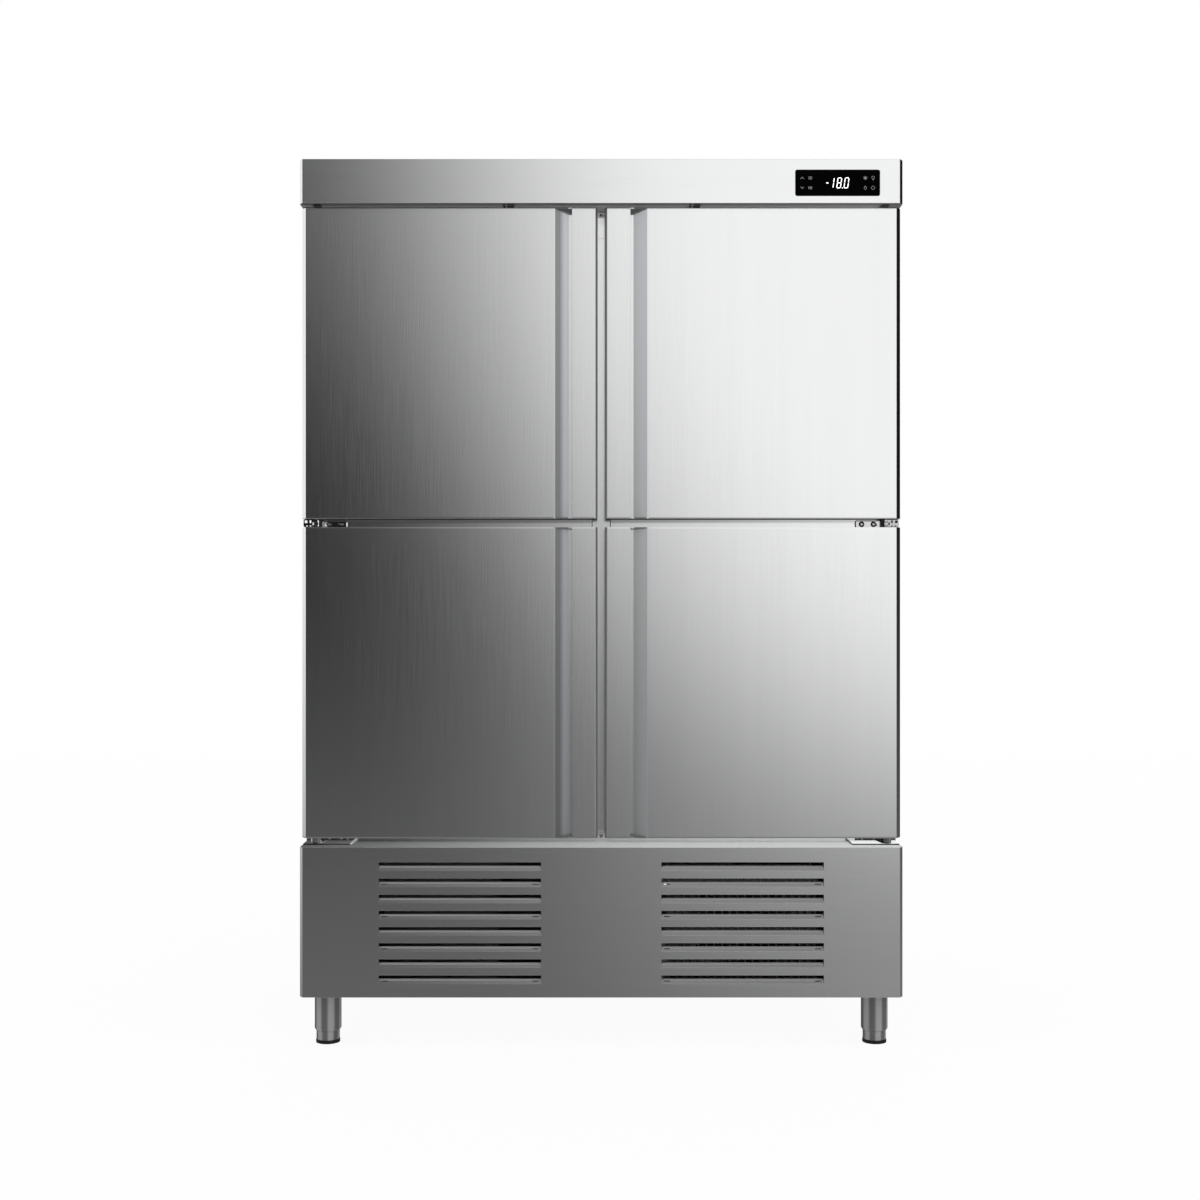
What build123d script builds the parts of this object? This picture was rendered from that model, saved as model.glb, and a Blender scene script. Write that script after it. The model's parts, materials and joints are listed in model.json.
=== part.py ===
from build123d import *
import os

# Upright commercial freezer cabinet with four half doors, in millimetres
# Origin on the floor under the middle of the cabinet, +Z up, doors face -Y, +X to the right

# Cabinet
WIDTH = 1388
DEPTH = 726
LEG_HEIGHT = 120
BASE_HEIGHT = 344
FASCIA_HEIGHT = 101
WALL = 60
SHEET = 1.2
LINER_SHEET = 1
DECK_SHEET = 2
FOLD_RADIUS = 1.5
CORNER_BEVEL_WIDTH = 8
CORNER_BEVEL_DEPTH = 13

# Door frame
FRAME_SHEET = 2
POST_WIDTH = 42
POST_DEPTH = 40
POST_SHEET = 1.5
MID_RAIL_HEIGHT = 70
MID_RAIL_SEAM = 1.2
BRACKET_WIDTH = 25
BRACKET_THICKNESS = 2
TOP_BRACKET_DROP = 11
BOTTOM_BRACKET_RISE = 25

# Doors
DOOR_HEIGHT = 719
DOOR_THICKNESS = 60
DOOR_SETBACK = 27
DOOR_CENTRE_GAP = 17
DOOR_TOP_GAP = 4
DOOR_MID_GAP = 20
DOOR_BOTTOM_GAP = 18
DOOR_SHEET = 1
DOOR_LINER = 1.2
DOOR_CAP = 12
FREE_BEVEL_WIDTH = 5
FREE_BEVEL_DEPTH = 8
HINGE_BEVEL_WIDTH = 11
HINGE_BEVEL_DEPTH = 17

# Recessed grip along the free edge of each door
GRIP_BAND = 54
GRIP_LIP = 14
GRIP_LIP_THICKNESS = 3
GRIP_MOUTH = 8.5
GRIP_SLOPE = 30.8
GRIP_DEPTH = 31
GRIP_RADIUS = 2
GRIP_CREASE_RADIUS = 8
GRIP_END = 3

# Door gasket and the raised dish inside it
GASKET_GAP = 14
GASKET_CLEARANCE = 0.3
GASKET_WIDTH = 18
GASKET_RADIUS = 4
GASKET_FREE_INSET = 3
GASKET_HINGE_INSET = 32
GASKET_END_INSET = 10
DISH_INSET = 12
DISH_RISE = 6

# Hinges
PIN_FROM_SIDE = 30
PIN_FROM_FRONT = 30
PIN_RADIUS = 5
PIN_REACH = 11
PIN_CLEARANCE = 0.05
HINGE_CLEARANCE = 1
BOSS_CLEARANCE = 0.5
TOP_HINGE_INNER_REACH = 17
TOP_HINGE_SETBACK = 14
HINGE_REACH = 66.5
HINGE_SIDE_GAP = 2
HINGE_PLATE = 3
HINGE_PLATE_RADIUS = 5
MID_HINGE_ARM = 8
MID_BOSS_RADIUS = 9.5
BOTTOM_HINGE_REACH = 81
BOTTOM_HINGE_FRONT = 14
BOTTOM_BOSS_RADIUS = 12
SCREW_HEAD_RADIUS = 6.8
LOW_SCREW_HEAD_RADIUS = 5.5
SCREW_HEAD_HEIGHT = 3
SCREW_RADIUS = 3
SCREW_CLEARANCE = 0.05
SCREW_PITCH = 28
SCREW_FROM_END = 15.5
BRACKET_SCREW_RADIUS = 4
BRACKET_SCREW_HEIGHT = 2

# Controller
CONTROLLER_WIDTH = 194
CONTROLLER_HEIGHT = 60
CONTROLLER_RADIUS = 4.5
CONTROLLER_FROM_SIDE = 54.3
CONTROLLER_FROM_TOP = 24.6
CONTROLLER_CLEARANCE = 0.3
CONTROLLER_RECESS = 0.6
CONTROLLER_RIM = 5
CONTROLLER_RIM_THICKNESS = 2
CONTROLLER_BODY_DEPTH = 45

# Louvres of the lower panel
LOUVRE_ROWS = 8
LOUVRE_WIDTH = 373
LOUVRE_FROM_SIDE = 183
LOUVRE_PITCH = 37.1
LOUVRE_FIRST = 33.4
LOUVRE_HEIGHT = 19.4
BLADE_HEIGHT = 10
BLADE_DEPTH = 9
BLADE_KNEE_HEIGHT = 6.5
BLADE_KNEE_DEPTH = 4
SLIT_WIDTH = 14
SLIT_HEIGHT = 2
SLIT_FROM_END = 6
SLIT_FROM_TOP = 3.5

# Legs
LEG_SIDE_INSET = 55
LEG_END_INSET = 75
SLEEVE_RADIUS = 31
SLEEVE_BOTTOM = 29.5
SLEEVE_TAPER = 4
SLEEVE_LIP = 1.5
SLEEVE_CAP = 8
FOOT_RADIUS = 27
FOOT_CLEARANCE = 0.08
FOOT_STOP_GAP = 0.3
PAD_RADIUS = 28
PAD_HEIGHT = 8
PAD_EDGE_RADIUS = 1.5

# Vents and cable entry in the back panel
VENT_COLUMNS = 6
VENT_ROWS = 8
VENT_LENGTH = 70
VENT_HEIGHT = 8
VENT_PITCH_X = 100
VENT_PITCH_Z = 22
VENT_FROM_BOTTOM = 170
CABLE_HOLE_RADIUS = 10
CABLE_FROM_SIDE = 90
CABLE_FROM_BOTTOM = 60

# Shelves on racks
SHELF_LEVELS = 3
RACK_WIDTH = 24
RACK_THICKNESS = 10
CENTRE_RACK_WIDTH = 20
RACK_FRONT_INSET = 90
RACK_REAR_INSET = 60
RUNNER_WIDTH = 20
RUNNER_HEIGHT = 15
RUNNER_SHEET = 2
SHELF_CLEARANCE = 3
SHELF_FRONT_CLEARANCE = 15
SHELF_BACK_CLEARANCE = 12
RIM_WIRE_RADIUS = 3.5
CROSS_WIRE_RADIUS = 2
CROSS_WIRE_PITCH = 26
WIRE_SINK = 1

# Evaporator under the ceiling
EVAPORATOR_WIDTH = 660
EVAPORATOR_DEPTH = 243
EVAPORATOR_HEIGHT = 200
EVAPORATOR_COIL_WIDTH = 500
EVAPORATOR_COIL_DEPTH = 120
EVAPORATOR_COIL_HEIGHT = 170
EVAPORATOR_COIL_BACK = 15

# Fans, both on an axis along Y, and their motors
FAN_RADIUS = 76
FAN_OPENING_GAP = 6
FAN_HUB_RADIUS = 24
FAN_WIDTH = 28
FAN_FACE_GAP = 5
FAN_BLADES = 5
BLADE_CHORD = 44
BLADE_SHEET = 2.5
BLADE_TWIST = 28
SHAFT_RADIUS = 4
SHAFT_CLEARANCE = 0.05
SHAFT_SEAT = 24
MOTOR_GAP = 4
MOTOR_RADIUS = 34
MOTOR_LENGTH = 44
MOTOR_ARM = 8

# Coils: fins across tubes
FIN_COUNT = 20
FIN_SHEET = 1
TUBE_RADIUS = 6
TUBE_OVERHANG = 10
EVAPORATOR_TUBE_COLUMNS = 2
EVAPORATOR_TUBE_ROWS = 3
CONDENSER_TUBE_ROWS = 5

# Machine compartment
CONDENSER_WIDTH = 340
CONDENSER_DEPTH = 55
CONDENSER_HEIGHT = 290
CONDENSER_FRONT_GAP = 25
CONDENSER_FAN_RADIUS = 115
SHROUD_FLANGE = 40
COMPRESSOR_RADIUS = 85
COMPRESSOR_HEIGHT = 190
COMPRESSOR_DOME = 30
COMPRESSOR_X = -180
COMPRESSOR_Y = 120
COMPRESSOR_FOOT_WIDTH = 210
COMPRESSOR_FOOT_DEPTH = 120
COMPRESSOR_FOOT_HEIGHT = 10
STUB_SPREAD = 40
STUB_RISE = 14

# Refrigerant pipes
PIPE_RADIUS = 5
PIPE_BEND = 14
PIPE_OUTREACH = 40
CHASE_WIDTH = 50
CHASE_DEPTH = 46
SUCTION_FROM_LINER = 33
LIQUID_FROM_LINER = 15
DISCHARGE_DROP = 32
SUCTION_DROP = 56
LIQUID_DROP = 80

# Heights of the stack
BASE_TOP_Z = LEG_HEIGHT + BASE_HEIGHT
LOWER_DOOR_Z = BASE_TOP_Z + DOOR_BOTTOM_GAP
UPPER_DOOR_Z = LOWER_DOOR_Z + DOOR_HEIGHT + DOOR_MID_GAP
FASCIA_Z = UPPER_DOOR_Z + DOOR_HEIGHT + DOOR_TOP_GAP
TOP_Z = FASCIA_Z + FASCIA_HEIGHT
MID_GAP_Z = UPPER_DOOR_Z - DOOR_MID_GAP / 2
TRAY_TOP_Z = LEG_HEIGHT + DECK_SHEET
CAVITY_BOTTOM_Z = BASE_TOP_Z + WALL
CAVITY_TOP_Z = FASCIA_Z - WALL

# Places in plan
SIDE_X = WIDTH / 2
INNER_SIDE_X = SIDE_X - SHEET
CAVITY_X = SIDE_X - WALL
FRONT_Y = -DEPTH / 2
BACK_Y = DEPTH / 2
INNER_BACK_Y = BACK_Y - SHEET
CAVITY_BACK_Y = BACK_Y - WALL
DOOR_FRONT_Y = FRONT_Y + DOOR_SETBACK
DOOR_BACK_Y = DOOR_FRONT_Y + DOOR_THICKNESS
FRAME_Y = DOOR_BACK_Y + GASKET_GAP
POST_BACK_Y = FRAME_Y + POST_DEPTH
DOOR_WIDTH = (WIDTH - DOOR_CENTRE_GAP) / 2
HINGE_X = SIDE_X - PIN_FROM_SIDE
HINGE_Y = DOOR_FRONT_Y + PIN_FROM_FRONT
HINGE_LOW_X = HINGE_X - HINGE_REACH
HINGE_HIGH_X = SIDE_X - HINGE_SIDE_GAP
LOUVRE_X = SIDE_X - LOUVRE_FROM_SIDE - LOUVRE_WIDTH / 2

SIDES = {"left": -1, "right": 1}


def save(part, name):
    """Label a finished piece and write it under its own name."""
    part.label = name
    export_step(part, f"parts/{name}.step")


def block(low, high, mode=Mode.ADD):
    """A box between two corners, given to the part being built."""
    centre = tuple((a + b) / 2 for a, b in zip(low, high))
    size = tuple(abs(b - a) for a, b in zip(low, high))
    with Locations(centre):
        Box(*size, mode=mode)


def plan_sketch():
    """Plan of the cabinet with both front corners bevelled."""
    crease_y = FRONT_Y + CORNER_BEVEL_DEPTH
    crease_x = SIDE_X - CORNER_BEVEL_WIDTH
    with BuildSketch(mode=Mode.PRIVATE) as plan:
        with BuildLine():
            Polyline(
                (-SIDE_X, BACK_Y),
                (-SIDE_X, crease_y),
                (-crease_x, FRONT_Y),
                (crease_x, FRONT_Y),
                (SIDE_X, crease_y),
                (SIDE_X, BACK_Y),
                close=True,
            )
        make_face()
        fillet(plan.vertices().group_by(Axis.Y)[0], radius=FOLD_RADIUS)
        fillet(plan.vertices().group_by(Axis.Y)[-2], radius=FOLD_RADIUS)
    return plan.sketch


def inner_plan_sketch():
    """Plan inside the outer sheet."""
    with BuildSketch(mode=Mode.PRIVATE) as plan:
        add(plan_sketch())
        offset(amount=-SHEET, kind=Kind.INTERSECTION)
    return plan.sketch


def front_band_sketch():
    """Folded sheet round the front of the cabinet, back to the face of the door frame."""
    with BuildSketch(mode=Mode.PRIVATE) as band:
        add(plan_sketch())
        add(inner_plan_sketch(), mode=Mode.SUBTRACT)
        with Locations((0, (FRAME_Y + BACK_Y) / 2)):
            Rectangle(WIDTH, BACK_Y - FRAME_Y, mode=Mode.SUBTRACT)
    return band.sketch


def make_shell():
    """Outer panels and the two decks of the base."""
    for name, side in SIDES.items():
        with BuildPart() as side_panel:
            block((side * INNER_SIDE_X, FRAME_Y, LEG_HEIGHT), (side * SIDE_X, BACK_Y, TOP_Z))
        save(side_panel.part, f"side_panel_{name}")

    with BuildPart() as back_panel:
        block((-INNER_SIDE_X, INNER_BACK_Y, LEG_HEIGHT), (INNER_SIDE_X, BACK_Y, TOP_Z))
        with Locations((0, BACK_Y - SHEET / 2, LEG_HEIGHT + VENT_FROM_BOTTOM)):
            with Locations(Plane.XZ):
                with GridLocations(VENT_PITCH_X, VENT_PITCH_Z, VENT_COLUMNS, VENT_ROWS):
                    Box(VENT_LENGTH, VENT_HEIGHT, SHEET, mode=Mode.SUBTRACT)
        cable_x = CABLE_FROM_SIDE - SIDE_X
        with Locations((cable_x, BACK_Y - SHEET / 2, LEG_HEIGHT + CABLE_FROM_BOTTOM)):
            Cylinder(CABLE_HOLE_RADIUS, SHEET, rotation=(90, 0, 0), mode=Mode.SUBTRACT)
    save(back_panel.part, "back_panel")

    with BuildPart() as roof_panel:
        with BuildSketch(Plane.XY.offset(TOP_Z - SHEET)):
            add(inner_plan_sketch())
        extrude(amount=SHEET)
    save(roof_panel.part, "roof_panel")

    with BuildPart() as base_deck:
        with BuildSketch(Plane.XY.offset(BASE_TOP_Z - DECK_SHEET)):
            add(inner_plan_sketch())
        extrude(amount=DECK_SHEET)
        chase_low, chase_high = chase_box(BASE_TOP_Z - DECK_SHEET, BASE_TOP_Z)
        block(chase_low, chase_high, Mode.SUBTRACT)
    save(base_deck.part, "base_deck")

    with BuildPart() as base_tray:
        with BuildSketch(Plane.XY.offset(LEG_HEIGHT)):
            add(inner_plan_sketch())
        extrude(amount=DECK_SHEET)
    save(base_tray.part, "base_tray")


def controller_centre():
    """Middle of the controller's front, x and z."""
    x = SIDE_X - CONTROLLER_FROM_SIDE - CONTROLLER_WIDTH / 2
    z = TOP_Z - CONTROLLER_FROM_TOP - CONTROLLER_HEIGHT / 2
    return x, z


def make_fascia():
    """Fascia over the doors with its cut-out, and the controller seated in it."""
    x, z = controller_centre()
    front = Plane((x, FRONT_Y, z), x_dir=(1, 0, 0), z_dir=(0, 1, 0))

    with BuildPart() as fascia:
        with BuildSketch(Plane.XY.offset(FASCIA_Z)):
            add(front_band_sketch())
        extrude(amount=FASCIA_HEIGHT)
        with BuildSketch(Plane.XY.offset(FASCIA_Z)):
            add(inner_plan_sketch())
            with Locations((0, (FRAME_Y + BACK_Y) / 2)):
                Rectangle(WIDTH, BACK_Y - FRAME_Y, mode=Mode.SUBTRACT)
        extrude(amount=SHEET)
        with BuildSketch(front):
            RectangleRounded(
                CONTROLLER_WIDTH + 2 * CONTROLLER_CLEARANCE,
                CONTROLLER_HEIGHT + 2 * CONTROLLER_CLEARANCE,
                CONTROLLER_RADIUS + CONTROLLER_CLEARANCE,
            )
        extrude(amount=SHEET, mode=Mode.SUBTRACT)
    save(fascia.part, "fascia")

    with BuildPart() as controller:
        with BuildSketch(front.offset(CONTROLLER_RECESS)):
            RectangleRounded(CONTROLLER_WIDTH, CONTROLLER_HEIGHT, CONTROLLER_RADIUS)
        extrude(amount=SHEET + CONTROLLER_RIM_THICKNESS - CONTROLLER_RECESS)
        with BuildSketch(front.offset(SHEET)):
            RectangleRounded(
                CONTROLLER_WIDTH + 2 * CONTROLLER_RIM,
                CONTROLLER_HEIGHT + 2 * CONTROLLER_RIM,
                CONTROLLER_RADIUS,
            )
        extrude(amount=CONTROLLER_RIM_THICKNESS)
        with BuildSketch(front.offset(SHEET + CONTROLLER_RIM_THICKNESS)):
            Rectangle(CONTROLLER_WIDTH - 2 * CONTROLLER_RIM, CONTROLLER_HEIGHT - 2 * CONTROLLER_RIM)
        extrude(amount=CONTROLLER_BODY_DEPTH)
    save(controller.part, "controller")


def make_lower_panel():
    """Panel before the machine compartment, with two groups of louvres, slit at every other blade."""
    with BuildPart() as lower_panel:
        with BuildSketch(Plane.XY.offset(LEG_HEIGHT)):
            add(front_band_sketch())
        extrude(amount=BASE_HEIGHT)
        for side in SIDES.values():
            low_x = side * LOUVRE_X - LOUVRE_WIDTH / 2
            high_x = low_x + LOUVRE_WIDTH
            for row in range(LOUVRE_ROWS):
                top_z = BASE_TOP_Z - LOUVRE_FIRST - row * LOUVRE_PITCH
                foot_z = top_z - LOUVRE_HEIGHT
                block((low_x, FRONT_Y, foot_z), (high_x, FRONT_Y + SHEET, top_z), Mode.SUBTRACT)
                with BuildSketch(Plane.YZ.offset(low_x)):
                    with BuildLine():
                        Polyline(
                            (FRONT_Y, foot_z),
                            (FRONT_Y + BLADE_KNEE_DEPTH, foot_z + BLADE_KNEE_HEIGHT),
                            (FRONT_Y + BLADE_DEPTH, foot_z + BLADE_HEIGHT),
                            (FRONT_Y + BLADE_DEPTH + SHEET, foot_z + BLADE_HEIGHT),
                            (FRONT_Y + BLADE_KNEE_DEPTH + SHEET, foot_z + BLADE_KNEE_HEIGHT),
                            (FRONT_Y + SHEET, foot_z),
                            close=True,
                        )
                    make_face()
                extrude(amount=LOUVRE_WIDTH)
                if row % 2:
                    slit_z = foot_z + BLADE_HEIGHT - SLIT_FROM_TOP
                    for slit_x in (low_x + SLIT_FROM_END, high_x - SLIT_FROM_END - SLIT_WIDTH):
                        block(
                            (slit_x, FRONT_Y + SHEET, slit_z - SLIT_HEIGHT),
                            (slit_x + SLIT_WIDTH, FRONT_Y + BLADE_DEPTH + SHEET, slit_z),
                            Mode.SUBTRACT,
                        )
    save(lower_panel.part, "lower_panel")


def chase_box(low_z, high_z):
    """Corners of the upright pipe chase behind the inner liner, between two heights."""
    x = EVAPORATOR_COIL_WIDTH / 2 + TUBE_OVERHANG + PIPE_OUTREACH
    front_y = CAVITY_BACK_Y + LINER_SHEET
    return (x - CHASE_WIDTH / 2, front_y, low_z), (x + CHASE_WIDTH / 2, front_y + CHASE_DEPTH, high_z)


def make_insulated_box():
    """Foam body, inner liner, door frame with its mid rails, mullion and the mullion's brackets."""
    liner_x = CAVITY_X + LINER_SHEET
    liner_back_y = CAVITY_BACK_Y + LINER_SHEET
    liner_low_z = CAVITY_BOTTOM_Z - LINER_SHEET
    liner_high_z = CAVITY_TOP_Z + LINER_SHEET
    foam_front_y = FRAME_Y + FRAME_SHEET

    with BuildPart() as insulation:
        block((-INNER_SIDE_X, foam_front_y, BASE_TOP_Z), (INNER_SIDE_X, INNER_BACK_Y, FASCIA_Z))
        block((-liner_x, foam_front_y, liner_low_z), (liner_x, liner_back_y, liner_high_z), Mode.SUBTRACT)
        chase_low, chase_high = chase_box(BASE_TOP_Z, CAVITY_TOP_Z)
        block(chase_low, chase_high, Mode.SUBTRACT)
    save(insulation.part, "insulation")

    with BuildPart() as inner_liner:
        for side in SIDES.values():
            block(
                (side * CAVITY_X, foam_front_y, CAVITY_BOTTOM_Z),
                (side * liner_x, CAVITY_BACK_Y, CAVITY_TOP_Z),
            )
        block((-liner_x, foam_front_y, CAVITY_TOP_Z), (liner_x, CAVITY_BACK_Y, liner_high_z))
        block((-liner_x, foam_front_y, liner_low_z), (liner_x, CAVITY_BACK_Y, CAVITY_BOTTOM_Z))
        block((-liner_x, CAVITY_BACK_Y, liner_low_z), (liner_x, liner_back_y, liner_high_z))
        port_low, port_high = chase_box(CAVITY_TOP_Z - EVAPORATOR_COIL_HEIGHT, CAVITY_TOP_Z)
        block(
            (port_low[0], CAVITY_BACK_Y, port_low[2]),
            (port_high[0], liner_back_y, port_high[2]),
            Mode.SUBTRACT,
        )
    save(inner_liner.part, "inner_liner")

    with BuildPart() as door_frame:
        for side in SIDES.values():
            block((side * CAVITY_X, FRAME_Y, BASE_TOP_Z), (side * INNER_SIDE_X, foam_front_y, FASCIA_Z))
        block((-CAVITY_X, FRAME_Y, CAVITY_TOP_Z), (CAVITY_X, foam_front_y, FASCIA_Z))
        block((-CAVITY_X, FRAME_Y, BASE_TOP_Z), (CAVITY_X, foam_front_y, CAVITY_BOTTOM_Z))
        low_z = MID_GAP_Z - MID_RAIL_HEIGHT / 2
        high_z = MID_GAP_Z + MID_RAIL_HEIGHT / 2
        rail_end = POST_WIDTH / 2 + MID_RAIL_SEAM
        for side in SIDES.values():
            block((side * rail_end, FRAME_Y, low_z), (side * CAVITY_X, POST_BACK_Y, high_z))
            block(
                (side * rail_end, FRAME_Y + POST_SHEET, low_z + POST_SHEET),
                (side * CAVITY_X, POST_BACK_Y - POST_SHEET, high_z - POST_SHEET),
                Mode.SUBTRACT,
            )
    save(door_frame.part, "door_frame")

    with BuildPart() as mullion:
        half = POST_WIDTH / 2
        block((-half, FRAME_Y, CAVITY_BOTTOM_Z), (half, POST_BACK_Y, CAVITY_TOP_Z))
        block(
            (POST_SHEET - half, FRAME_Y + POST_SHEET, CAVITY_BOTTOM_Z),
            (half - POST_SHEET, POST_BACK_Y - POST_SHEET, CAVITY_TOP_Z),
            Mode.SUBTRACT,
        )
    save(mullion.part, "mullion")

    with BuildPart() as mullion_brackets:
        half = BRACKET_WIDTH / 2
        front_y = FRAME_Y - BRACKET_THICKNESS
        block((-half, front_y, FASCIA_Z - TOP_BRACKET_DROP), (half, FRAME_Y, FASCIA_Z))
        block((-half, front_y, BASE_TOP_Z), (half, FRAME_Y, BASE_TOP_Z + BOTTOM_BRACKET_RISE))
    save(mullion_brackets.part, "mullion_brackets")


def door_point(side, u, v):
    """Plan point of a door: u from its free edge, v back from its front face."""
    return side * (DOOR_CENTRE_GAP / 2 + u), DOOR_FRONT_Y + v


def door_sketch(side):
    """Plan of a whole door with its grip, bevels and rounded folds."""
    lip_end = FREE_BEVEL_WIDTH + GRIP_BAND
    grip_wall = lip_end - GRIP_LIP
    floor_end = lip_end + GRIP_MOUTH
    corners = [
        (0, DOOR_THICKNESS),
        (0, FREE_BEVEL_DEPTH),
        (FREE_BEVEL_WIDTH, 0),
        (grip_wall, 0),
        (grip_wall, GRIP_DEPTH),
        (floor_end, GRIP_DEPTH),
        (floor_end + GRIP_SLOPE, 0),
        (DOOR_WIDTH - HINGE_BEVEL_WIDTH, 0),
        (DOOR_WIDTH, HINGE_BEVEL_DEPTH),
        (DOOR_WIDTH, DOOR_THICKNESS),
    ]
    with BuildSketch(mode=Mode.PRIVATE) as plan:
        with BuildLine():
            Polyline(*[door_point(side, u, v) for u, v in corners], close=True)
        make_face()
        radii = {1: FOLD_RADIUS, 2: FOLD_RADIUS, 4: GRIP_RADIUS, 5: GRIP_RADIUS}
        radii |= {6: GRIP_CREASE_RADIUS, 7: FOLD_RADIUS, 8: FOLD_RADIUS}
        for index, radius in radii.items():
            corner = door_point(side, *corners[index])
            fillet(plan.vertices().sort_by_distance(corner)[0], radius=radius)
    return plan.sketch


def grip_end_sketch(side):
    """Plan of the plug that closes an end of a door's grip, up to the rounded crease at its far side."""
    lip_end = FREE_BEVEL_WIDTH + GRIP_BAND
    lip_start = lip_end - GRIP_LIP
    far_end = lip_end + GRIP_MOUTH + GRIP_SLOPE - GRIP_CREASE_RADIUS / 3
    with BuildSketch(mode=Mode.PRIVATE) as plan:
        with Locations(door_point(side, (lip_start + far_end) / 2, GRIP_DEPTH / 2)):
            Rectangle(far_end - lip_start, GRIP_DEPTH)
        add(door_sketch(side), mode=Mode.SUBTRACT)
        with Locations(door_point(side, (lip_start + lip_end) / 2, GRIP_LIP_THICKNESS / 2)):
            Rectangle(GRIP_LIP, GRIP_LIP_THICKNESS, mode=Mode.SUBTRACT)
    return plan.sketch


def door_inside_sketch(side):
    """Plan inside the door's skin, in front of its liner."""
    with BuildSketch(mode=Mode.PRIVATE) as plan:
        add(door_sketch(side))
        offset(amount=-DOOR_SHEET, kind=Kind.INTERSECTION)
        with Locations(door_point(side, DOOR_WIDTH / 2, DOOR_THICKNESS - DOOR_LINER / 2)):
            Rectangle(DOOR_WIDTH, DOOR_LINER, mode=Mode.SUBTRACT)
    return plan.sketch


def make_door(name, side, low_z):
    """One door: folded skin, foam core, end caps with pin holes, grip plugs, liner and gasket."""
    high_z = low_z + DOOR_HEIGHT
    inside_sketch = door_inside_sketch(side)

    with BuildPart() as skin:
        with BuildSketch(Plane.XY.offset(low_z)):
            add(door_sketch(side))
            add(inside_sketch, mode=Mode.SUBTRACT)
            with Locations(door_point(side, DOOR_WIDTH / 2, DOOR_THICKNESS - DOOR_LINER / 2)):
                Rectangle(DOOR_WIDTH - 2 * DOOR_SHEET, DOOR_LINER, mode=Mode.SUBTRACT)
            lip_middle = FREE_BEVEL_WIDTH + GRIP_BAND - GRIP_LIP / 2
            with Locations(door_point(side, lip_middle - DOOR_SHEET / 2, GRIP_LIP_THICKNESS / 2)):
                Rectangle(GRIP_LIP + DOOR_SHEET, GRIP_LIP_THICKNESS)
        extrude(amount=DOOR_HEIGHT)
    save(skin.part, f"door_{name}_skin")

    with BuildPart() as core:
        with BuildSketch(Plane.XY.offset(low_z + DOOR_CAP)):
            add(inside_sketch)
        extrude(amount=DOOR_HEIGHT - 2 * DOOR_CAP)
    save(core.part, f"door_{name}_core")

    with BuildPart() as ends:
        for cap_z in (low_z, high_z - DOOR_CAP):
            with BuildSketch(Plane.XY.offset(cap_z)):
                add(inside_sketch)
                with Locations((side * HINGE_X, HINGE_Y)):
                    Circle(PIN_RADIUS + PIN_CLEARANCE, mode=Mode.SUBTRACT)
            extrude(amount=DOOR_CAP)
        for plug_z in (low_z, high_z - GRIP_END):
            with BuildSketch(Plane.XY.offset(plug_z)):
                add(grip_end_sketch(side))
            extrude(amount=GRIP_END)
    save(ends.part, f"door_{name}_ends")

    gasket_free = GASKET_FREE_INSET + GASKET_WIDTH
    gasket_hinge = DOOR_WIDTH - GASKET_HINGE_INSET - GASKET_WIDTH
    gasket_end = GASKET_END_INSET + GASKET_WIDTH

    with BuildPart() as liner:
        near_x, back_y = door_point(side, DOOR_SHEET, DOOR_THICKNESS)
        far_x, _ = door_point(side, DOOR_WIDTH - DOOR_SHEET, DOOR_THICKNESS)
        block((near_x, back_y - DOOR_LINER, low_z), (far_x, back_y, high_z))
        near_x, _ = door_point(side, gasket_free + DISH_INSET, DOOR_THICKNESS)
        far_x, _ = door_point(side, gasket_hinge - DISH_INSET, DOOR_THICKNESS)
        inset_z = gasket_end + DISH_INSET
        block((near_x, back_y, low_z + inset_z), (far_x, back_y + DISH_RISE, high_z - inset_z))
        chamfer(liner.faces().sort_by(Axis.Y)[-1].edges(), length=DISH_RISE / 2)
        block(
            (near_x + side * DISH_RISE, back_y - DOOR_LINER, low_z + inset_z + DISH_RISE),
            (far_x - side * DISH_RISE, back_y + DISH_RISE - DOOR_LINER, high_z - inset_z - DISH_RISE),
            Mode.SUBTRACT,
        )
    save(liner.part, f"door_{name}_liner")

    with BuildPart() as gasket:
        face_y = FRAME_Y - GASKET_CLEARANCE
        near_x, _ = door_point(side, GASKET_FREE_INSET, DOOR_THICKNESS)
        far_x, _ = door_point(side, DOOR_WIDTH - GASKET_HINGE_INSET, DOOR_THICKNESS)
        block((near_x, back_y, low_z + GASKET_END_INSET), (far_x, face_y, high_z - GASKET_END_INSET))
        near_x, _ = door_point(side, gasket_free, DOOR_THICKNESS)
        far_x, _ = door_point(side, gasket_hinge, DOOR_THICKNESS)
        block((near_x, back_y, low_z + gasket_end), (far_x, face_y, high_z - gasket_end), Mode.SUBTRACT)
        fillet(gasket.faces().sort_by(Axis.Y)[-1].edges(), radius=GASKET_RADIUS)
    save(gasket.part, f"door_{name}_gasket")


def hinge_screw_xs(side):
    """X of the two screws of a hinge, inboard of its boss."""
    first = HINGE_LOW_X + SCREW_FROM_END
    return [side * (first + i * SCREW_PITCH) for i in range(2)]


def hinge_plate_plane(side, z):
    """Plane of the door frame's face at the middle of a hinge plate, facing forward."""
    return Plane((side * (HINGE_LOW_X + HINGE_HIGH_X) / 2, FRAME_Y, z), x_dir=(1, 0, 0), z_dir=(0, -1, 0))


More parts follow.
